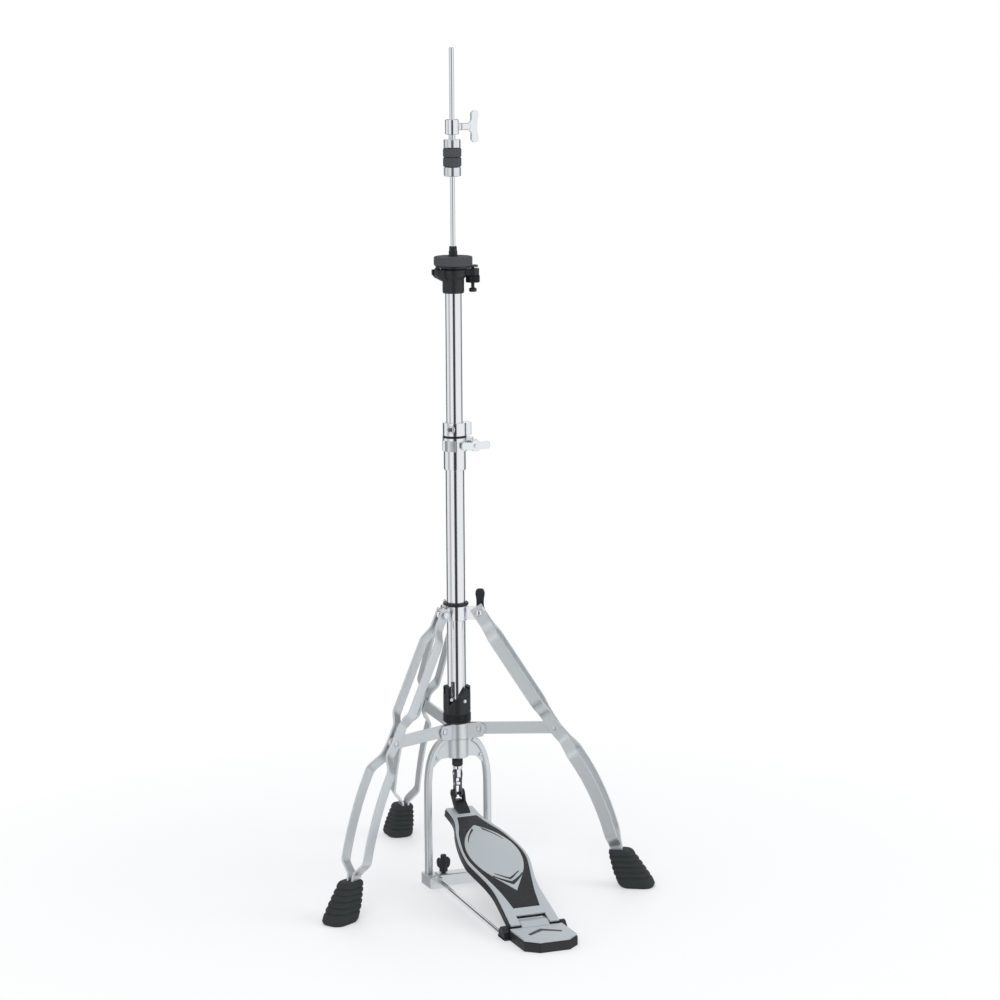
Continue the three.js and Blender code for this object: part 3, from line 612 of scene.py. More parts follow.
def felt_ring(inner, outer, low, high):
    """Round-edged felt washer with an uneven surface."""
    r = min(1.6, (high - low) / 3)
    profile = [(inner, low + 0.4), (inner + 0.4, low)]
    profile += [(outer - r + a, low + r + b) for a, b in arc(0, 0, r, -90, 0, 5)]
    profile += [(outer, low + (high - low) * k) for k in (0.42, 0.5, 0.58)]
    profile += [(outer - r + a, high - r + b) for a, b in arc(0, 0, r, 0, 90, 5)]
    profile += [(inner + 0.4, high), (inner, high - 0.4), (inner, low + 0.4)]
    shape = Shape().spin(profile, segments=120)
    fuzz = sizes().felt_fuzz / MM
    for i, v in enumerate(shape.verts):
        flat = Vector((v.x, v.y, 0)).normalized()
        shape.verts[i] = v + flat * (noise.noise(v * 0.9) * fuzz) + Vector(
            (0, 0, noise.noise(v * 0.5 + Vector((9, 4, 2))) * fuzz * 0.6))
    return shape


def hex_head(shape, r, low, high, place):
    """Six-sided bolt head."""
    return shape.slab(circle(0, 0, r, 6), low, high, place)


def head(shape, r, height, low, place):
    """Round rivet or screw head."""
    return shape.spin(dome(r, height, low), place, 32)


def pin_frame(r, z):
    """Local Z along the leg plane's normal, at a pivot of the tripod."""
    return shift(r, 0, z) @ ALONG_Y


# ---- rod, chain and clutch -----------------------------------------------------------

class STAND_OT_rod(bpy.types.Operator):
    """Build the pull rod, its stop, the clevis and the chain links."""

    bl_idname = "stand.rod"
    bl_label = "Pull rod and chain"

    def execute(self, context):
        Shape().bar(3.2, (0, 0, 152.8), (0, 0, 1100), 1.1, 48).piece(
            "rod", "chrome", "pull_rod", "chrome", ["pull_rod"], 0)
        Shape().spin([
            (3.5, 157.3), (6.6, 157.3), (7.2, 158), (7.2, 160.6), (6.7, 161.1), (7.2, 161.6), (7.2, 165.6),
            (6.4, 166.5), (3.5, 166.5), (3.5, 157.3)]).piece(
            "stop", "rubber", "pull_rod", "black_plastic", ["rod_stop"], 0.25)
        clevis = Shape().spin([
            (3.4, 152.3), (5.9, 152.3), (6.5, 152.9), (6.5, 156.3), (5.8, 157), (3.4, 157), (3.4, 152.3)])
        clevis.slab(rounded(-5, 5, 139.6, 153.4, 3.2), -2.7, 2.7, FLAT_YZ)
        clevis.bar(2.2, (-6.4, 0, 146), (6.4, 0, 146), 0.6, 24)
        clevis.piece("clevis_block", "chrome", "pull_rod", "chrome", ["clevis"], 0.4)
        links = Shape()
        outline = closed([
            (0, 151.8), (4.2, 150), (5.8, 146), (4.6, 142), (3.5, 137), (3.4, 132.2), (3.5, 127.5), (4.6, 122.6),
            (5.8, 118.5), (4.2, 114.4), (0, 112.7), (-4.2, 114.4), (-5.8, 118.5), (-4.6, 122.6), (-3.5, 127.5),
            (-3.4, 132.2), (-3.5, 137), (-4.6, 142), (-5.8, 146), (-4.2, 150)])
        for side in (-1, 1):
            low, high = sorted((side * 3.1, side * 5.1))
            links.slab(outline, low, high, FLAT_YZ, holes=[
                circle(0, 146, 2.5, 20), circle(0, 118.5, 2.9, 20)])
        links.piece("links", "dark", "chain_link", "dark_steel", ["link_plate_left", "link_plate_right"], 0.35)
        roller = Shape().bar(3.3, (-3, 0, 132.2), (3, 0, 132.2), 0.4, 28)
        roller.bar(1.9, (-5.6, 0, 132.2), (5.6, 0, 132.2), 0.5, 20)
        roller.piece("link_roller", "chrome", "chain_link", "dark_steel", bevel=0)
        return {"FINISHED"}


class STAND_OT_clutch(bpy.types.Operator):
    """Build the clutch with its felts, nuts and wing screw."""

    bl_idname = "stand.clutch"
    bl_label = "Clutch"

    def execute(self, context):
        body = Shape()
        thread = [(3.55, 936.5), (4.2, 936.5)]
        z = 937.0
        while z < 988:
            thread += [(4.6, z), (4.25, z + 0.4)]
            z += 0.8
        body.spin(thread + [(4.2, 989.2), (3.55, 989.2), (3.55, 936.5)], segments=40)
        body.spin([
            (3.55, 989), (8.2, 989), (9.25, 990), (9.25, 1008), (8.2, 1009), (3.55, 1009), (3.55, 989)])
        body.spin([(2.8, 8), (5.2, 8), (5.2, 10.9), (4.6, 11.5), (2.8, 11.5), (2.8, 8)],
                  shift(0, 0, 999) @ ALONG_X, 40)
        body.piece("clutch_tube", "chrome", "clutch", "chrome", ["clutch_body"], 0.25)
        for name, low, high in (("clutch_nut_low", 936, 948), ("clutch_nut_high", 972.3, 983.3)):
            nut = knurled(Shape(), 11.6, low, high, 4.9)
            nut.piece(name + "_knurl", "chrome", "clutch", "chrome", [name], 0)
        felt_ring(4.9, 11.8, 948.3, 960.15).piece(
            "clutch_felt_a", "felt", "clutch", "felt", ["clutch_felt_low"], 0)
        felt_ring(4.9, 11.8, 960.45, 972).piece(
            "clutch_felt_b", "felt", "clutch", "felt", ["clutch_felt_high"], 0)
        wing = Shape().bar(2.5, (3.8, 0, 999), (12.4, 0, 999), 0.4, 24)
        wing.spin([(0, 11.8), (4.4, 11.8), (5, 12.6), (5, 19), (4.2, 23), (2.6, 25.2), (0, 25.8)],
                  shift(0, 0, 999) @ ALONG_X, 40)
        ears = mirrored([
            (19, 3.6), (22.4, 5.2), (25.2, 8), (25.9, 12), (25.6, 16.4), (27.6, 19.8), (31.4, 20.5), (35, 18.6),
            (35.8, 14), (34.6, 9), (34, 3)])
        wing.slab([(x, z + 999) for x, z in closed(ears, 3)], -2.3, 2.3, FLAT_XZ)
        wing.piece("clutch_ears", "chrome", "clutch_wing", "chrome", ["clutch_wing"], 0.9, 50, 3)
        return {"FINISHED"}


# ---- cymbal seat -----------------------------------------------------------------------

class STAND_OT_seat(bpy.types.Operator):
    """Build the tilting cymbal seat."""

    bl_idname = "stand.seat"
    bl_label = "Cymbal seat"

    def execute(self, context):
        felt_ring(6, 25, 821.3, 833).piece("seat_pad", "felt", "seat", "felt", ["seat_felt"], 0)
        Shape().spin([
            (4.4, 818.9), (5.65, 818.9), (5.65, 839.8), (5.1, 840.6), (5.1, 843), (4.8, 843.3), (5, 843.7), (5, 845.5),
            (4.7, 846), (4.4, 846), (4.4, 818.9)]).piece("neck", "black", "seat", "black_plastic", ["seat_neck"], 0)
        half = [(23 * math.cos(math.radians(a)), 23 * math.sin(math.radians(a))) for a in range(18, 181, 6)]
        outline = [(33, 3.4), (32.4, 5), (30.6, 6.5), (24.6, 6.5)] + half
        plate = Shape().slab(outline + [(x, -y) for x, y in reversed(outline[:-1])],
                             818.5, 821, holes=[circle(0, 0, 6, 36)])
        plate.slab(rounded(-25, -19, 810.5, 819, 2.4), -2.6, 2.6, FLAT_XZ)
        plate.piece("plate", "black", "seat", "black_plastic", ["seat_plate"], 0.5)
        base = Shape().spin([
            (11.4, 785.5), (13.3, 785.5), (14.1, 787.4), (14.1, 804), (17, 807.3), (17, 815.7), (16.2, 816.5),
            (4.4, 816.5), (4.4, 804.6), (11.4, 804.6), (11.4, 785.5)])
        for k in (-1, 1):
            low, high = sorted((k * 3, k * 8))
            base.slab([
                (-26.4, 816.5), (-27, 815.6), (-27, 810), (-23.4, 805.8), (-12, 799.8), (-6, 799.5), (-5, 800.4),
                (-5, 816.5)], low, high, FLAT_XZ)
        base.slab([(-17.6, 816.5), (-17.6, 802.7), (-6, 799.6), (-5, 816.5)], -3.1, 3.1, FLAT_XZ)
        tab = [(5, -4.5), (20, -5.4)] + arc(27, 0, 8.5, -120, 120, 18) + [(20, 5.4), (5, 4.5)]
        base.slab(tab, 808, 816.5, holes=[circle(27, 0, 2.6, 20)])
        base.bar(1.8, (-22, -8.9, 813.5), (-22, 8.9, 813.5), 0.5, 24)
        base.piece("seat_cup", "black", "upper_tube", "black_plastic", ["seat_base"], 0.5)
        knob = knurled(Shape(), 9.2, 798.2, 807.7, 2.6, 0.9, shift(27, 0, 0), 0.6)
        knob.piece("knob", "black", "upper_tube", "black_plastic", ["tilt_knob"], 0)
        screw = Shape().spin([
            (0, 786), (4.2, 786), (5, 786.8), (5, 790.2), (4.3, 791), (2.25, 791.4), (2.25, 817.2), (1.6, 818.2),
            (0, 818.2)], shift(27, 0, 0), 32)
        screw.piece("screw", "black", "tilt_screw", "black_plastic", ["tilt_screw"], 0.2)
        return {"FINISHED"}


# ---- tubes and clamps ---------------------------------------------------------------------

def split_ring(inner, outer, ear, half, slit, teeth=False):
    """Outline of a clamp ring split at an ear on the +X side, knurled at its back if it has teeth."""
    start = math.degrees(math.asin(half / outer))
    points = [(inner, slit), (ear, slit), (ear, half - 1.5), (ear - 1.5, half)]
    steps = 96
    for i in range(steps + 1):
        a = start + (360 - 2 * start) * i / steps
        r = outer
        if teeth and 105 < a < 255:
            r -= 1.1 * (i % 2)
        points.append((r * math.cos(math.radians(a)), r * math.sin(math.radians(a))))
    points += [(ear - 1.5, -half), (ear, 1.5 - half), (ear, -slit), (inner, -slit)]
    gap = math.degrees(math.asin(slit / inner))
    points += arc(0, 0, inner, 360 - gap, gap, 48)[1:-1]
    return points


class STAND_OT_tubes(bpy.types.Operator):
    """Build the two tubes, the bushing, the memory lock and the height clamp."""

    bl_idname = "stand.tubes"
    bl_label = "Tubes and clamps"

    def execute(self, context):
        Shape().spin([
            (9.7, 430), (10.8, 430), (11.1, 430.3), (11.1, 804.2), (9.7, 804.2), (9.7, 430)], segments=112).piece(
            "tube_high", "chrome", "upper_tube", "chrome", ["upper_tube"], 0)
        half = math.degrees(math.asin(2.8 / 12.7))
        quads = []
        levels = [172.3, 245, 273, 593.7]
        for centre in (45, 225):
            marks = [centre - half + 2 * half * i / 6 for i in range(7)]
            marks += [centre + half + (180 - 2 * half) * i / 42 for i in range(1, 43)]
            for i, (a, b) in enumerate(zip(marks, marks[1:])):
                for low, high in zip(levels, levels[1:]):
                    if i < 6 and low == 245:
                        continue
                    quads.append([(a % 360, low), (b % 360, low), (b % 360, high), (a % 360, high)])
        Shape().cells(quads, 11.5, 12.7, lambda a, z, r: Vector(
            (r * math.cos(math.radians(a)), r * math.sin(math.radians(a)), z))).piece(
            "tube_low", "chrome", "base", "chrome", ["main_tube"], 0)
        Shape().spin([
            (11.25, 594), (13.6, 594), (13.6, 597.2), (15.3, 597.2), (15.8, 597.7), (15.8, 599), (15.3, 599.5),
            (11.25, 599.5), (11.25, 594)]).piece(
            "bushing", "black", "base", "black_plastic", ["tube_bushing"], 0.15)
        lock = Shape().slab(split_ring(11.4, 16, 21.5, 7, 1), 599.8, 616.8)
        facing = shift(0, 0, 608.8) @ turn(231.3) @ ALONG_X
        lock.spin([(3.9, 14.6), (5.4, 14.6), (5.4, 16), (5, 16.6), (3.9, 16.6), (3.9, 14.6)], facing, 40)
        lock.piece("lock_ring", "chrome", "upper_tube", "chrome", ["memory_lock"], 0.6)
        bolt = Shape().spin([(0, 14.7), (3.9, 14.7), (3.9, 15.5), (0, 15.8)], facing, 32)
        bolt.slab(rounded(-2.4, 2.4, -2.4, 2.4, 0.4), 15.5, 18, facing)
        bolt.piece("lock_key_bolt", "dark", "upper_tube", "dark_steel", ["lock_bolt"], 0.3)
        clamp = Shape().spin([
            (13, 554), (14, 554), (15, 556), (15, 580), (13, 580), (13, 554)])
        clamp.slab(split_ring(13, 16.5, 28, 9, 1.2, teeth=True), 579.5, 593.8)
        clamp.slab(split_ring(14, 16.4, 24, 7, 1.2), 593.6, 597)
        clamp.bar(3, (21.5, -23, 587), (21.5, 9.5, 587), 0.6, 28)
        side = shift(21.5, 0, 587) @ ALONG_Y
        clamp.spin([(0, 8.9), (6.2, 8.9), (6.2, 9.6), (0, 9.6)], side, 32)
        hex_head(clamp, 5.5, 9.5, 13, side)
        clamp.piece("clamp", "chrome", "base", "chrome", ["height_clamp"], 0.6)
        wing = Shape().spin([
            (3.3, -20.4), (5.6, -20.6), (6.5, -19.6), (6.5, -10.2), (5.8, -9.3), (3.3, -9.3), (3.3, -20.4)],
            side, 40)
        lobe = closed([
            (-20, 0), (-18.6, 4.6), (-13.4, 5.4), (-7, 4.6), (-4, 6.8), (0, 7.4), (4, 6.8), (7, 4.6), (13.4, 5.4),
            (18.6, 4.6), (20, 0), (18.2, -4.4), (13, -4.9), (7, -4.6), (4, -6.8), (0, -7.4), (-4, -6.8), (-7, -4.6),
            (-13, -4.9), (-18.2, -4.4)], 3)
        wing.slab([(21.5 + x, 587 + z) for x, z in lobe], 17.2, 21.4, FLAT_XZ)
        wing.piece("height_ears", "chrome", "height_wing", "chrome", ["height_wing"], 0.9, 50, 3)
        return {"FINISHED"}


# ---- tripod -----------------------------------------------------------------------------------

def leg_path():
    """Centre line of a leg in its own plane, from the collar to the foot."""
    (pr, pz), (er, ez) = LEG_PIVOT, STRUT_END
    lean = math.atan2(er - pr, pz - ez)
    up = Vector((-math.sin(lean), 0, math.cos(lean))) * 8
    top, knee = Vector((pr, 0, pz)), Vector((er, 0, ez))
    return [top + up, top, top.lerp(knee, 0.5), knee + up] + [Vector((r, 0, z)) for r, z in (
        (er + 1, ez - 1.5), (147, 193.5), (163.5, 169.5), (179, 143), (196.5, 103), (209, 63), (215.5, 36.5))]


SPREAD = [
    (30, 3.9), (57, 3.9), (71, 18), (182, 18), (197, 3.9), (233, 3.9), (246, 13), (334, 13), (347, 3.9), (380, 3.9)]
HEEL_LINE = [(0, 219), (4, 215), (20, 208), (41, 202.5), (50, 202)]
TOE_LINE = [(0, 261), (4, 263), (12, 259.5), (26, 250), (50, 233)]
HALF_LINE = [(0, 16), (4, 17.5), (20, 17), (50, 13)]


class STAND_OT_collar(bpy.types.Operator):
    """Build the sliding collar, its bolts, the black ring and the wing nut."""

    bl_idname = "stand.collar"
    bl_label = "Tripod collar"

    def execute(self, context):
        pr, pz = LEG_PIVOT
        collar = Shape().spin([
            (13, 354), (14, 354), (14.8, 354.8), (14.8, 373.2), (14, 374), (13, 374), (13, 354)], segments=96)
        for name, angle in LEG_ANGLES.items():
            aim = turn(angle)
            collar.slab(
                [(14, 355), (pr - 2, 355)] + arc(pr, pz, 8, -60, 60, 14) + [(pr - 2, 373), (14, 373)],
                -2, 2, aim @ FLAT_XZ)
            side = aim @ pin_frame(pr, pz)
            far = 15.8 if name == "right" else 7.2
            collar.spin([(0, -7.2), (3, -7.2), (3, far - 0.6), (2.4, far), (0, far)], side, 28)
            head(collar, 4.6, 2.6, 5.7, side @ turn(180, "X"))
            if name != "right":
                hex_head(collar, 4.9, 5.7, 9.2, side)
        collar.piece("collar_body", "chrome", "collar", "chrome", ["collar"], 0.45)
        Shape().spin([
            (13, 374.3), (15.7, 374.3), (16.5, 375.1), (16.5, 377.4), (15.7, 378.2), (13, 378.2), (13, 374.3)]).piece(
            "collar_band", "black", "collar", "black_plastic", ["collar_ring"], 0)
        aim = turn(LEG_ANGLES["right"])
        # Local height runs against the leg normal in this plane.
        outline = closed([
            (pr, pz - 13.4), (pr + 4.6, pz - 11), (pr + 5.2, pz - 6), (pr + 6.2, pz), (pr + 4.6, pz + 7),
            (pr + 4.8, pz + 16), (pr + 5.8, pz + 23), (pr + 4, pz + 28.4), (pr, pz + 29.2), (pr - 4, pz + 28.4),
            (pr - 5.8, pz + 23), (pr - 4.8, pz + 16), (pr - 4.6, pz + 7), (pr - 6.2, pz), (pr - 5.2, pz - 6),
            (pr - 4.6, pz - 11)], 3)
        nut = Shape().spin([
            (3.3, 5.9), (5.4, 5.9), (6, 6.5), (6, 11.5), (3.3, 11.5), (3.3, 5.9)], aim @ pin_frame(pr, pz), 40)
        nut.slab(outline, -15.4, -12.2, aim @ FLAT_XZ)
        nut.piece("collar_nut", "chrome", "collar_wing", "chrome", ["collar_wing"], 0.8, 50, 3)
        cover = Shape().slab(
            [(pr + (x - pr) * 1.08, pz + (z - pz) * 1.01) for x, z in outline], -12.3, -9, aim @ FLAT_XZ)
        cover.piece("collar_nut_cover", "black", "collar_wing", "black_plastic", bevel=0.9, sharp=50, steps=3)
        return {"FINISHED"}


class STAND_OT_legs(bpy.types.Operator):
    """Build the three legs with their feet and struts, and the fixed bracket."""

    bl_idname = "stand.legs"
    bl_label = "Legs, feet and struts"

    def execute(self, context):
        path = spline(leg_path(), 150)
        width = sizes().strap_width / MM / 2
        thick = sizes().strap_thickness / MM / 2
        section = rounded(-thick, thick, -width, width, min(1.1, thick * 0.7), 4)
        for name, angle in LEG_ANGLES.items():
            aim = turn(angle)
            for letter, k in (("a", 1), ("b", -1)):
                line = [Vector((p.x, k * eased(SPREAD, p.z), p.z)) for p in path]
                strap = Shape().sweep(section, line, lambda i: Vector((0, 1, 0)), aim)
                rivet = aim @ pin_frame(*STRUT_END)
                if k < 0:
                    rivet = rivet @ turn(180, "X")
                strap.spin([(0, 5), (4.4, 5), (4.4, 5.6)] + dome(4.2, 1.5, 5.1)[2:], rivet, 32)
                strap.piece("strap_%s_%s" % (name, letter), "satin", "leg_" + name, "satin",
                            ["leg_strap_%s_%s" % (name, letter)], 0, 50)
            self.foot(name, aim)
            self.strut(name, aim)
        self.brackets()
        return {"FINISHED"}

    def foot(self, name, aim):
        depth = sizes().rib_depth / MM

        def level(z, inset):
            a = along(HEEL_LINE, z) + inset
            b = along(TOE_LINE, z) - inset
            h = along(HALF_LINE, z) - inset
            c = min(h, (b - a) / 2) * 0.78
            return [(x, y, z) for x, y in rounded(a, b, -h, h, c, 8)]

        rings = [level(0, 3), level(0, 0.9), level(0.8, 0), level(4, 0), level(8, 0), level(11.6, 0)]
        for i in range(5):
            z = 12.6 + i * 7
            rings += [level(z, depth * 0.25), level(z + 0.8, depth), level(z + 2.2, depth), level(z + 3, depth * 0.25)]
            rings += [level(z + 4, 0), level(z + 5.6, 0)]
        rings += [level(48.4, 0.3), level(49.6, 1.2), level(50, 2.6), level(50, 5)]
        Shape().loft(rings, aim).piece("foot_" + name, "rubber", "leg_" + name, "rubber",
                                       ["leg_foot_" + name], 0, 60)

    def strut(self, name, aim):
        (sr, sz), (er, ez) = STRUT_PIVOT, STRUT_END
        tilt = math.degrees(math.atan2(ez - sz, er - sr))
        outline = arc(sr, sz, 8, tilt + 90, tilt + 270, 18) + arc(er, ez, 8, tilt - 90, tilt + 90, 18)
        bar = Shape().slab(outline, -2, 2, aim @ FLAT_XZ, holes=[circle(sr, sz, 2.8, 24)])
        # Pressed ridges along both faces stiffen the bar.
        middle = shift((sr + er) / 2, 0, (sz + ez) / 2) @ turn(-tilt, "Y")
        for k in (-1, 1):
            low, high = sorted((k * 1.6, k * 2.25))
            bar.slab(rounded(-31, 31, -4.6, 4.6, 3.4), low, high, aim @ middle @ FLAT_XZ)
        bar.piece("strut_bar_" + name, "satin", "strut_" + name, "satin", ["strut_" + name], 0.5)

    def brackets(self):
        sr, sz = STRUT_PIVOT
        for name, a, b in (("front", 210, 330), ("right", 330, 450), ("left", 90, 210)):
            skip = math.degrees(math.asin(2.6 / 13))
            band = arc(0, 0, 13, a + skip, b - skip, 30) + arc(0, 0, 15.6, b - skip, a + skip, 30)
            shape = Shape().slab(band, 195.3, 216)
            for angle, side in ((a, 1), (b, -1)):
                low, high = (-4.9, -2.3) if side > 0 else (2.3, 4.9)
                aim = turn(angle)
                outline = [(13.8, 195.4), (22, 195.9), (35, 198.4)] + arc(sr, sz, 7.6, -30, 90, 12) + [
                    (24, 216.2), (13.8, 216)]
                shape.slab(outline, low, high, aim @ FLAT_XZ)
                head(shape, 4.5, 1.6, 4.8, aim @ pin_frame(sr, sz) @ (turn(0) if side > 0 else turn(180, "X")))
            shape.spin([(0, -6), (2.5, -6), (2.5, 6), (0, 6)], turn(a) @ pin_frame(sr, sz), 24)
            shape.piece("bracket_" + name + "_plate", "satin", "base", "satin", ["bracket_" + name], 0.5)


# ---- spring tension dial --------------------------------------------------------------------------

def cam_top(degrees):
    """Height of the dial's rim: two equal ramps with a notch and prongs."""
    t = (degrees - CAM_WALL) % 180
    if t < 86:
        return min(242 + 0.27 * t, 265)
    for edge, height in ((104, 262), (118, 265), (132, 256), (146, 265), (158, 256)):
        if t < edge:
            return height
    return 265


class STAND_OT_dial(bpy.types.Operator):
    """Build the spring tension dial and its cross pin."""

    bl_idname = "stand.dial"
    bl_label = "Tension dial"

    def execute(self, context):
        angles = set()
        for half in (0, 180):
            for i in range(72):
                angles.add(half + i * 2.5 + 0.6)
            for mark in (0, 86, 104, 118, 132, 146, 158):
                angles.update((half + mark + 0.06, half + (mark - 0.06) % 180))
        rings = []
        for t in sorted(angles):
            a = math.radians(CAM_WALL + t)
            top = cam_top(CAM_WALL + t)
            groove = 0.7 if int(t / 2.5) % 2 else 0.0
            profile = [
                (13.2, 217.3), (17.4, 217.3), (18.4 - groove, 218.3), (18.4 - groove, 229), (17.7, 229.8),
                (17.7, 232), (18.1, 232.4), (18.1, top - 0.9), (17.3, top), (13.9, top), (13.2, top - 0.7)]
            rings.append([(r * math.cos(a), r * math.sin(a), z) for r, z in profile])
        Shape().loft(rings, looped=True).piece(
            "dial", "black", "tension_dial", "black_plastic", ["tension_dial"], 0, 35)
        stud = Shape()
        head(stud, 2.6, 1.5, 17.4, shift(0, 0, 247) @ turn(286) @ ALONG_X)
        stud.piece("dial_stud", "chrome", "tension_dial", "black_plastic", bevel=0)
        pin = Shape().bar(2.5, (-18, 0, 249.2), (18, 0, 249.2), 0.8, 28)
        pin.spin([(4.4, 246.2), (10, 246.2), (10.8, 247), (10.8, 251.4), (10, 252.2), (4.4, 252.2), (4.4, 246.2)])
        pin.verts = [turn(225) @ v for v in pin.verts]
        pin.piece("cross_pin", "chrome", "tension_pin", "chrome", ["tension_pin"], 0.3)
        return {"FINISHED"}


# ---- yoke and floor frame -----------------------------------------------------------------------------

POST_LINE = [(20.5, 192.5), (27, 187), (33, 178), (37, 168), (40, 155), (41.6, 140), (42, 125), (42, 14.3)]


class STAND_OT_frame(bpy.types.Operator):
    """Build the yoke, posts, cross-bar, radius rods and spurs."""

    bl_idname = "stand.frame"
    bl_label = "Yoke and floor frame"

    def execute(self, context):
        yoke = Shape().spin([
            (4.4, 169), (13.6, 169), (14.5, 169.9), (14.5, 194.2), (13.9, 195), (13, 195), (13, 172), (4.4, 172),
            (4.4, 169)], segments=96)
        wing = [
            (13.6, 194.6), (17, 194.2), (22, 192), (28, 186), (33.4, 178.6), (36.6, 168), (37.8, 163), (34, 159.4),
            (30.6, 163.4), (24.4, 168.4), (19, 169.2), (13.6, 169.2)]
        for k in (-1, 1):
            yoke.slab([(k * x, z) for x, z in wing], -4.5, 4.5, FLAT_XZ)
            head(yoke, 2.4, 1.3, 4.4, shift(k * 30.5, 0, 170) @ ALONG_Y @ turn(180, "X"))
            head(yoke, 2.4, 1.3, 4.4, shift(k * 30.5, 0, 170) @ ALONG_Y)
        yoke.piece("yoke_body", "satin", "base", "satin", ["yoke"], 0.9, 40, 3)
        for k, name in ((-1, "left"), (1, "right")):
            path = spline([(k * x, 0, z) for x, z in POST_LINE], 70)
            Shape().sweep(rounded(-6, 6, -4, 4, 2.2, 5), path, lambda i: Vector((0, 1, 0))).piece(
                "post_%s_bar" % name, "satin", "base", "satin", ["post_" + name], 0, 50)
        bar = Shape()
        bar.slab(rounded(-22, -4.5, 2.2, 16, 1.6), -35.2, 35.2, FLAT_YZ)
        for y0, y1 in ((-22, -19.8), (-6.7, -4.5)):
            bar.slab([(y0, 0), (y1, 0), (y1, 4), (y0, 4)], -35.2, 35.2, FLAT_YZ)
        for k in (-1, 1):
            outline = [(33.2, -30), (47.6, -30), (50, -27.4), (50, 6.4), (47.4, 9), (37.2, 9), (34.2, 6), (33.2, -4)]
            bar.slab([(k * x, y) for x, y in outline], 0, 14)
            bar.spin([(0, 13.6), (3.4, 13.6), (3.4, 14.6)] + dome(3.2, 1, 14.1)[2:], shift(k * 42, -18, 0), 28)
        bar.piece("cross_bar", "satin", "base", "satin", ["crossbar"], 0.8)
        for k, name in ((-1, "left"), (1, "right")):
            rod = Shape().bar(2.5, (k * 33, -10, 7), (k * 39.4, -259.5, 4.6), 0.5, 32)
            rod.piece("floor_rod_" + name, "chrome", "base", "chrome", ["radius_rod_" + name], 0)
            here = shift(k * 26, -13, 0)
            spur = Shape().spin([
                (0, 0.6), (0.8, 0.7), (2.9, 4), (2.9, 17.6), (5.6, 17.9), (5.6, 30.6), (4.2, 32.2), (4, 40.2),
                (3.2, 41), (0, 41)], here, 32)
            spur.slab(closed([
                (-9, 29), (-8.6, 34.5), (-6, 37), (-3.6, 35), (0, 34), (3.6, 35), (6, 37), (8.6, 34.5), (9, 29),
                (7.4, 24), (4, 22.2), (0, 22), (-4, 22.2), (-7.4, 24)], 3), -2.4, 2.4, here @ FLAT_XZ)
            spur.piece("spur_%s_screw" % name, "black", "spur_" + name, "black_plastic", ["spur_" + name], 0.5)
        return {"FINISHED"}


# ---- heel plate and footboard ---------------------------------------------------------------------------

def board_point(x, s, n):
    """Point across, along and above the bowed footboard."""
    n += max(0.0, 4 * BOARD_BOW * (s / BOARD_END) * (1 - s / BOARD_END))
    c, d = math.cos(BOARD_TILT), math.sin(BOARD_TILT)
    return Vector((x, HINGE[0] + s * c - n * d, HINGE[1] + s * d + n * c))


def smooth(table, count=90):
    """List of (position, half width) pairs along a curve through a few of them."""
    return [(p.x, p.y) for p in spline([(a, b, 0) for a, b in table], count)]


def strips(outer, inner, marks):
    """Cells on both sides of the middle line, between two half widths."""
    quads = []
    for a, b in zip(marks, marks[1:]):
        for k in (-1, 1):
            quad = [
                (k * inner(a), a), (k * outer(a), a), (k * outer(b), b), (k * inner(b), b)]
            quads.append(quad if k > 0 else quad[::-1])
    return quads


def middles(inner, marks):
    """Cells across the middle, as wide as the inner half width."""
    return [[(-inner(a), a), (inner(a), a), (inner(b), b), (-inner(b), b)] for a, b in zip(marks, marks[1:])]


def spaced(*stops, step=4.0):
    """Evenly spaced marks that pass through every stop."""
    marks = []
    for a, b in zip(stops, stops[1:]):
        n = max(1, round((b - a) / step))
        marks += [a + (b - a) * i / n for i in range(n)]
    return marks + [stops[-1]]


BOARD_HALF = [
    (-6, 33.5), (23, 32.5), (41, 31.8), (63, 31.6), (81, 33.6), (98, 37), (116, 41), (131, 43), (149, 42.2),
    (168, 39.6), (186, 36), (205, 31), (219, 26.2), (231, 22.6), (246, 20.2), (274, 19.5)]
INLAY_HALF = [
    (26, 18), (56, 22.3), (86, 29), (112, 35.5), (126, 38.2), (139, 39.2), (152, 38.4), (167, 36), (197, 29),
    (221, 20), (245, 13.5)]
BADGE_HALF = [
    (60, 0.4), (76, 10), (93, 20.5), (110, 28.6), (128, 33.4), (146, 34.8), (168, 31.8), (190, 23), (205, 13),
    (219, 0.4)]


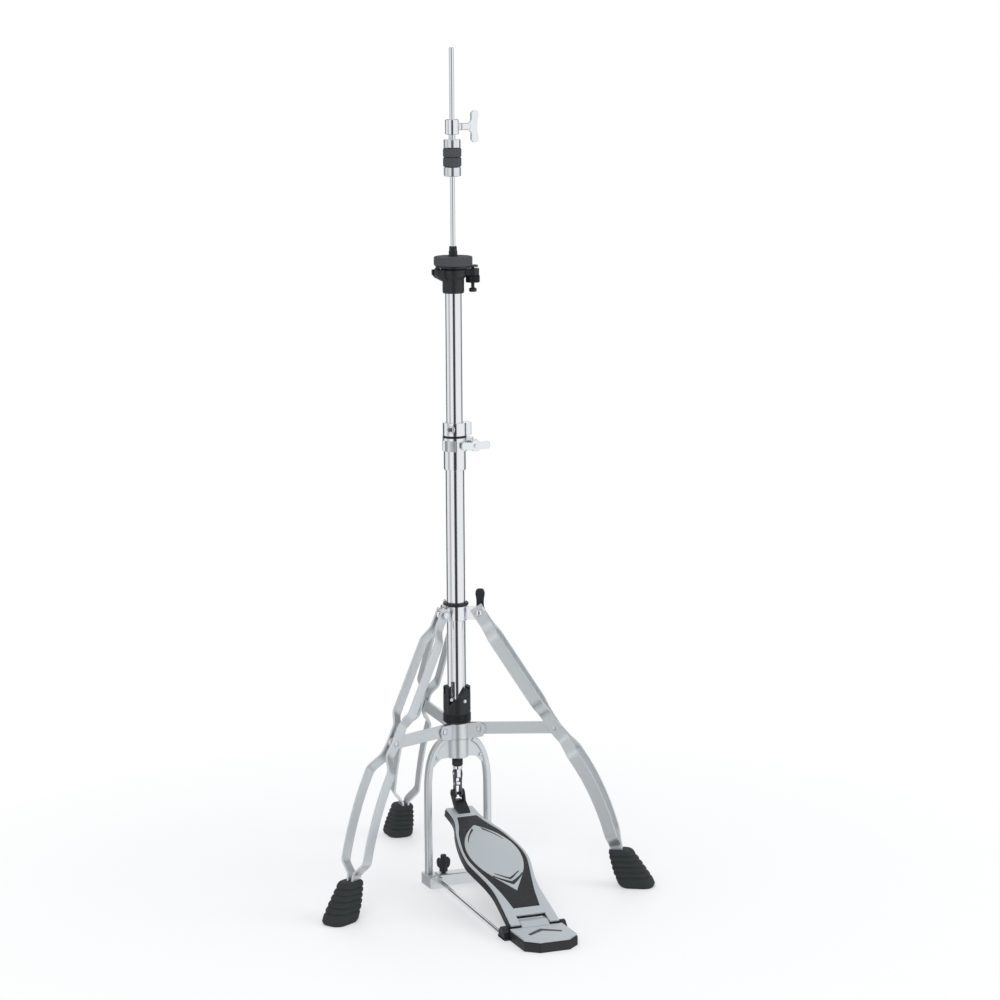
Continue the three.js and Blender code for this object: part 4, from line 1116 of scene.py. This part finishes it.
class STAND_OT_heel(bpy.types.Operator):
    """Build the heel base, the heel plate and the hinge pin."""

    bl_idname = "stand.heel"
    bl_label = "Heel plate"

    def execute(self, context):
        back = -273.0
        lip = -254.2

        def deck(half, front):
            return [(-20, front), (20, front), (half, front + 14), (half, back), (-half, back), (-half, front + 14)]

        base = Shape().slab(deck(36, -336), 0, 12)
        base.slab([(back - 1, 0), (lip, 0), (lip, 17), (-266, 17), (-274, 12), (-275, 12)], -19, 19, FLAT_YZ)
        base.slab([(-43, -274), (43, -274), (43, -251), (-43, -251)], 0, 3)
        for k in (-1, 1):
            low, high = sorted((k * 35.4, k * 43))
            base.slab([(-272, 0), (-253, 0), (-253, 10)] + arc(-263, 10, 6, 30, 150, 8) + [(-272, 10)],
                      low, high, FLAT_YZ)
        base.piece("heel_block", "black", "base", "black_plastic", ["heel_base"], 0.9, 30, 3)
        plate = Shape().slab(deck(35.2, -335.2), 12.3, 14.8)
        plate.slab([
            (-276, 12.3), (-274, 12.3), (-266, 17.3), (lip - 0.4, 17.3), (lip - 0.4, 19.8), (-266.2, 19.8),
            (-274.2, 14.8), (-276, 14.8)], -18.6, 18.6, FLAT_YZ)
        plate.piece("heel_deck", "silver", "base", "silver", ["heel_plate"], 0.5, 25)
        mark = Shape()
        for k in (-1, 1):
            mark.slab([(0, -286), (k * 23, -302), (k * 21, -307), (0, -294.4)], 14.5, 14.95)
        mark.piece("heel_chevron", "black", "base", "black_plastic", bevel=0.1)
        pin = Shape().bar(2.5, (-43.6, 0, 0), (43.6, 0, 0), 0.8, 28)
        pin.verts = [v + Vector((0, HINGE[0], HINGE[1])) for v in pin.verts]
        pin.piece("hinge_bar", "dark", "base", "dark_steel", ["hinge_pin"], 0)
        return {"FINISHED"}


class STAND_OT_board(bpy.types.Operator):
    """Build the footboard with its plate, inlay, medallion and toe bracket."""

    bl_idname = "stand.board"
    bl_label = "Footboard"

    def execute(self, context):
        edge_line, grip_line, badge_line = smooth(BOARD_HALF), smooth(INLAY_HALF), smooth(BADGE_HALF)
        core = [(-6, 19.6), (12.5, 19.6), (26, 18)] + grip_line[1:] + [(274, 13.5)]

        def board(s):
            return along(edge_line, s)

        def window(s):
            return along(core, s)

        def badge(s):
            return along(badge_line, s)

        body = Shape()
        body.cells(strips(board, window, spaced(-6, 12.5, 26, 245, 274)) + middles(window, spaced(12.5, 26, 245, 274)),
                   3.6, 6.7, board_point)
        body.cells(strips(board, lambda s: board(s) - 3.2, spaced(-6, 274)), -2.5, 4, board_point)
        body.cells(middles(lambda s: board(s) - 3, [266, 270, 274]), -2.5, 4, board_point)
        for k in (-1, 1):
            body.bar(7.4, (k * 19.8, HINGE[0], HINGE[1]), (k * 33.5, HINGE[0], HINGE[1]), 0.5, 48)
        body.piece("board_body", "black", "footboard", "black_plastic", ["footboard_body"], 0.7, 35, 2)
        plate = Shape().cells(
            strips(lambda s: board(s) - 0.7, window, spaced(-5.6, 12.5, 26, 245, 273.6))
            + middles(window, spaced(12.5, 26)) + middles(window, spaced(245, 273.6)), 7, 9.5, board_point)
        plate.piece("board_plate", "silver", "footboard", "silver", ["footboard_plate"], 0.6, 35)
        marks = spaced(26.3, 60, 219, 244.7, step=3.0)
        grip = Shape().cells(
            strips(lambda s: along(grip_line, s) - 0.3, badge, marks)
            + middles(badge, [m for m in marks if m <= 60]) + middles(badge, [m for m in marks if m >= 219]),
            7, 9.1, board_point)
        grip.piece("board_grip", "grip", "footboard", "black_plastic", ["footboard_inlay"], 0.4, 35)
        medal = Shape().cells(
            middles(lambda s: max(badge(s) - 0.3, 0.1), spaced(61, 218, step=3.0)), 7, 9.5, board_point)
        medal.piece("board_medal", "silver", "footboard", "silver", ["footboard_badge"], 0.5, 35)
        trim = Shape()

        def stripe(points, width):
            quads = []
            for (x0, s0), (x1, s1) in zip(points, points[1:]):
                quads.append([(x0, s0), (x1, s1), (x1, s1 + width(x1)), (x0, s0 + width(x0))])
            trim.cells(quads, 9.3, 9.7, board_point)

        def inside(s, gap):
            return max(badge(s) - gap, 0.0)

        for k in (-1, 1):
            rim = [(k * inside(s, 4.4), s - 3.4) for s in (208, 203, 198, 193, 188, 183, 178)]
            stripe(rim, lambda x: 6.5 - 4.5 * min(abs(x) / 26, 1))
            stripe([(0, 72), (k * 7, 78), (k * 14, 85), (k * 20.5, 93)], lambda x: 7 - 4.5 * abs(x) / 20.5)
            stripe([(0, 83), (k * 6, 88), (k * 12, 94), (k * 17, 98)], lambda x: 4.2 - 2.8 * abs(x) / 17)
        trim.piece("board_chevrons", "black", "footboard", "black_plastic", bevel=0)
        fork = Shape()
        seat = [tuple(board_point(0, s, BOARD_TOP + 0.3).yz) for s in (252, 260, 271)]
        cheek = seat + [(6.2, 117)] + arc(0, 118.5, 6.2, 0, 180, 14) + [(-9, 109.5), (-18.6, 103.6)]
        for k in (-1, 1):
            low, high = sorted((k * 5.6, k * 8.5))
            fork.slab(cheek, low, high, FLAT_YZ)
            head(fork, 3.4, 1.4, 8.2, shift(0, 0, 118.5) @ (ALONG_X if k > 0 else ALONG_X @ turn(180, "X")))
        fork.slab(seat + [(5.4, 110.3), (-8, 110.3), (-18.6, 103.6)], -5.8, 5.8, FLAT_YZ)
        fork.bar(2, (-9, 0, 118.5), (9, 0, 118.5), 0, 24)
        fork.piece("toe_fork", "black", "footboard", "black_plastic", ["toe_bracket"], 0.6, 40)
        return {"FINISHED"}


# ---- studio ------------------------------------------------------------------------------------------------

class STAND_OT_studio(bpy.types.Operator):
    """Lay the floor and set the lights, the sky and the camera."""

    bl_idname = "stand.studio"
    bl_label = "Studio"

    def execute(self, context):
        self.floor(context)
        self.sky(context)
        self.lamps(context)
        self.camera(context)
        context.scene.view_settings.view_transform = "Standard"
        return {"FINISHED"}

    def floor(self, context):
        mesh = bpy.data.meshes.new("floor")
        n = 96
        ring = [(x, y, 0) for x, y in circle(0, 0, FLOOR_RADIUS, n)]
        mesh.from_pydata(ring, [], [tuple(range(n))])
        obj = bpy.data.objects.new("floor", mesh)
        context.scene.collection.objects.link(obj)
        m = Nodes("floor")
        m.shader.inputs["Base Color"].default_value = (0.86, 0.865, 0.87, 1)
        m.shader.inputs["Roughness"].default_value = 0.9
        m.shader.inputs["Specular IOR Level"].default_value = 0.1
        glow = m.new("ShaderNodeEmission")
        glow.inputs["Color"].default_value = (1, 1, 1, 1)
        seen = m.new("ShaderNodeLightPath")
        dist = m.new("ShaderNodeVectorMath", operation="LENGTH")
        m.link(m.place, dist.inputs[0])
        fade = m.ramp(self.scaled(m, dist.outputs["Value"], 0.5), ((0.12, 0.35), (0.42, 1.0)))
        use = m.new("ShaderNodeMath", operation="MULTIPLY")
        m.link(fade, use.inputs[0])
        m.link(seen.outputs["Is Camera Ray"], use.inputs[1])
        mix = m.new("ShaderNodeMixShader")
        m.link(use.outputs["Value"], mix.inputs[0])
        m.link(m.shader.outputs["BSDF"], mix.inputs[1])
        m.link(glow.outputs["Emission"], mix.inputs[2])
        # Polished metal sees the room's panels below the floor line too.
        through = m.new("ShaderNodeMixShader")
        m.link(seen.outputs["Is Glossy Ray"], through.inputs[0])
        m.link(mix.outputs["Shader"], through.inputs[1])
        m.link(m.new("ShaderNodeBsdfTransparent").outputs["BSDF"], through.inputs[2])
        m.link(through.outputs["Shader"], m.tree.nodes["Material Output"].inputs["Surface"])
        mesh.materials.append(m.mat)

    def scaled(self, m, source, factor):
        node = m.new("ShaderNodeMath", operation="MULTIPLY")
        node.inputs[1].default_value = factor
        m.link(source, node.inputs[0])
        return node.outputs["Value"]

    def sky(self, context):
        world = bpy.data.worlds.new("sky")
        context.scene.world = world
        world.use_nodes = True
        tree = world.node_tree
        tree.nodes.clear()

        def new(kind, **values):
            node = tree.nodes.new(kind)
            for key, value in values.items():
                setattr(node, key, value)
            return node

        def maths(kind, a, b):
            node = new("ShaderNodeMath", operation=kind)
            for socket, value in zip(node.inputs, (a, b)):
                if isinstance(value, (int, float)):
                    socket.default_value = value
                else:
                    tree.links.new(value, socket)
            return node.outputs["Value"]

        place = new("ShaderNodeTexCoord").outputs["Generated"]
        split = new("ShaderNodeSeparateXYZ")
        tree.links.new(place, split.inputs["Vector"])
        around = maths("ARCTAN2", split.outputs["X"], split.outputs["Y"])
        # Dark panels stand round the room, as seen in polished tubes.
        turns = maths("FRACT", maths("ADD", maths("DIVIDE", around, math.tau), 0.5 + ROOM_FRONT / 360), 0)
        panels = new("ShaderNodeValToRGB")
        panels.color_ramp.interpolation = "EASE"
        stops = (
            (0.0, 0.90), (0.10, 0.95), (0.125, 0.10), (0.175, 0.10), (0.205, 0.95), (0.30, 1.0), (0.38, 1.0),
            (0.435, 0.95), (0.458, 0.05), (0.522, 0.05), (0.545, 0.98), (0.62, 1.0), (0.66, 0.55), (0.69, 0.55),
            (0.72, 0.95), (0.80, 0.95), (0.83, 0.10), (0.88, 0.10), (0.91, 0.95), (1.0, 0.90))
        while len(panels.color_ramp.elements) < len(stops):
            panels.color_ramp.elements.new(0.5)
        for element, (pos, value) in zip(panels.color_ramp.elements, stops):
            element.position = pos
            element.color = (value, value * 1.01, value * 1.02, 1)
        tree.links.new(turns, panels.inputs["Fac"])
        seen = new("ShaderNodeLightPath")
        mirror = maths("MAXIMUM", seen.outputs["Is Glossy Ray"], seen.outputs["Is Transmission Ray"])
        soft = new("ShaderNodeBackground")
        soft.inputs["Color"].default_value = (0.94, 0.97, 1.0, 1)
        soft.inputs["Strength"].default_value = 0.75
        glossy = new("ShaderNodeBackground")
        tree.links.new(panels.outputs["Color"], glossy.inputs["Color"])
        white = new("ShaderNodeBackground")
        white.inputs["Color"].default_value = (1, 1, 1, 1)
        first = new("ShaderNodeMixShader")
        tree.links.new(mirror, first.inputs[0])
        tree.links.new(soft.outputs["Background"], first.inputs[1])
        tree.links.new(glossy.outputs["Background"], first.inputs[2])
        second = new("ShaderNodeMixShader")
        tree.links.new(seen.outputs["Is Camera Ray"], second.inputs[0])
        tree.links.new(first.outputs["Shader"], second.inputs[1])
        tree.links.new(white.outputs["Background"], second.inputs[2])
        out = new("ShaderNodeOutputWorld")
        tree.links.new(second.outputs["Shader"], out.inputs["Surface"])

    def lamps(self, context):
        for name, place, size, power in (
                ("key", (-1.6, -2.4, 2.6), 1.6, 42), ("fill", (2.2, -1.6, 1.4), 1.8, 20),
                ("rim", (0.6, 2.4, 2.2), 1.4, 18)):
            lamp = bpy.data.lights.new(name, "AREA")
            lamp.energy = power
            lamp.size = size
            obj = bpy.data.objects.new(name, lamp)
            obj.location = place
            aim = Vector((0, 0, 0.45)) - Vector(place)
            obj.rotation_euler = aim.to_track_quat("-Z", "Y").to_euler()
            obj.visible_glossy = False
            context.scene.collection.objects.link(obj)

    def camera(self, context):
        a, yaw, pitch, roll = (
            math.radians(v) for v in (CAMERA_BEARING, CAMERA_YAW, CAMERA_PITCH, CAMERA_ROLL))
        up = Vector((0, 0, 1))
        back = Vector((math.sin(a), -math.cos(a), 0))
        right = Vector((math.cos(a), math.sin(a), 0))
        place = back * CAMERA_DISTANCE + up * CAMERA_HEIGHT
        ahead = right * math.sin(yaw) - back * math.cos(yaw)
        side = right * math.cos(yaw) + back * math.sin(yaw)
        look = ahead * math.cos(pitch) - up * math.sin(pitch)
        top = up * math.cos(pitch) + ahead * math.sin(pitch)
        x = side * math.cos(roll) + top * math.sin(roll)
        y = top * math.cos(roll) - side * math.sin(roll)
        data = bpy.data.cameras.new("camera")
        data.sensor_width = 36
        data.lens = CAMERA_LENS
        data.clip_end = 50
        obj = bpy.data.objects.new("camera", data)
        rows = Matrix((x, y, -look)).transposed().to_4x4()
        rows.translation = Vector((place.x * MM, place.y * MM + AXIS_Y, place.z * MM))
        obj.matrix_world = rows
        context.scene.collection.objects.link(obj)
        context.scene.camera = obj


class STAND_PT_panel(bpy.types.Panel):
    """Buttons for each step, in the order they run."""

    bl_idname = "STAND_PT_panel"
    bl_label = "Hi-hat stand"
    bl_space_type = "VIEW_3D"
    bl_region_type = "UI"
    bl_category = "Stand"

    def draw(self, context):
        for step in STEPS:
            self.layout.operator(step.bl_idname)
        for settings in (context.scene.stand_sizes, context.scene.stand_colours):
            for key in settings.__annotations__:
                self.layout.prop(settings, key)


STEPS = (
    STAND_OT_rod, STAND_OT_clutch, STAND_OT_seat, STAND_OT_tubes, STAND_OT_collar, STAND_OT_legs, STAND_OT_dial,
    STAND_OT_frame, STAND_OT_heel, STAND_OT_board, STAND_OT_studio)
CLASSES = (StandColours, StandSizes) + STEPS + (STAND_PT_panel,)


def register():
    for cls in CLASSES:
        bpy.utils.register_class(cls)
    bpy.types.Scene.stand_colours = bpy.props.PointerProperty(type=StandColours)
    bpy.types.Scene.stand_sizes = bpy.props.PointerProperty(type=StandSizes)


def unregister():
    del bpy.types.Scene.stand_colours
    del bpy.types.Scene.stand_sizes
    for cls in reversed(CLASSES):
        bpy.utils.unregister_class(cls)


def main():
    register()
    bpy.ops.stand.rod()
    bpy.ops.stand.clutch()
    bpy.ops.stand.seat()
    bpy.ops.stand.tubes()
    bpy.ops.stand.collar()
    bpy.ops.stand.legs()
    bpy.ops.stand.dial()
    bpy.ops.stand.frame()
    bpy.ops.stand.heel()
    bpy.ops.stand.board()
    bpy.ops.stand.studio()
    bpy.context.view_layer.update()


if __name__ == "__main__":
    main()
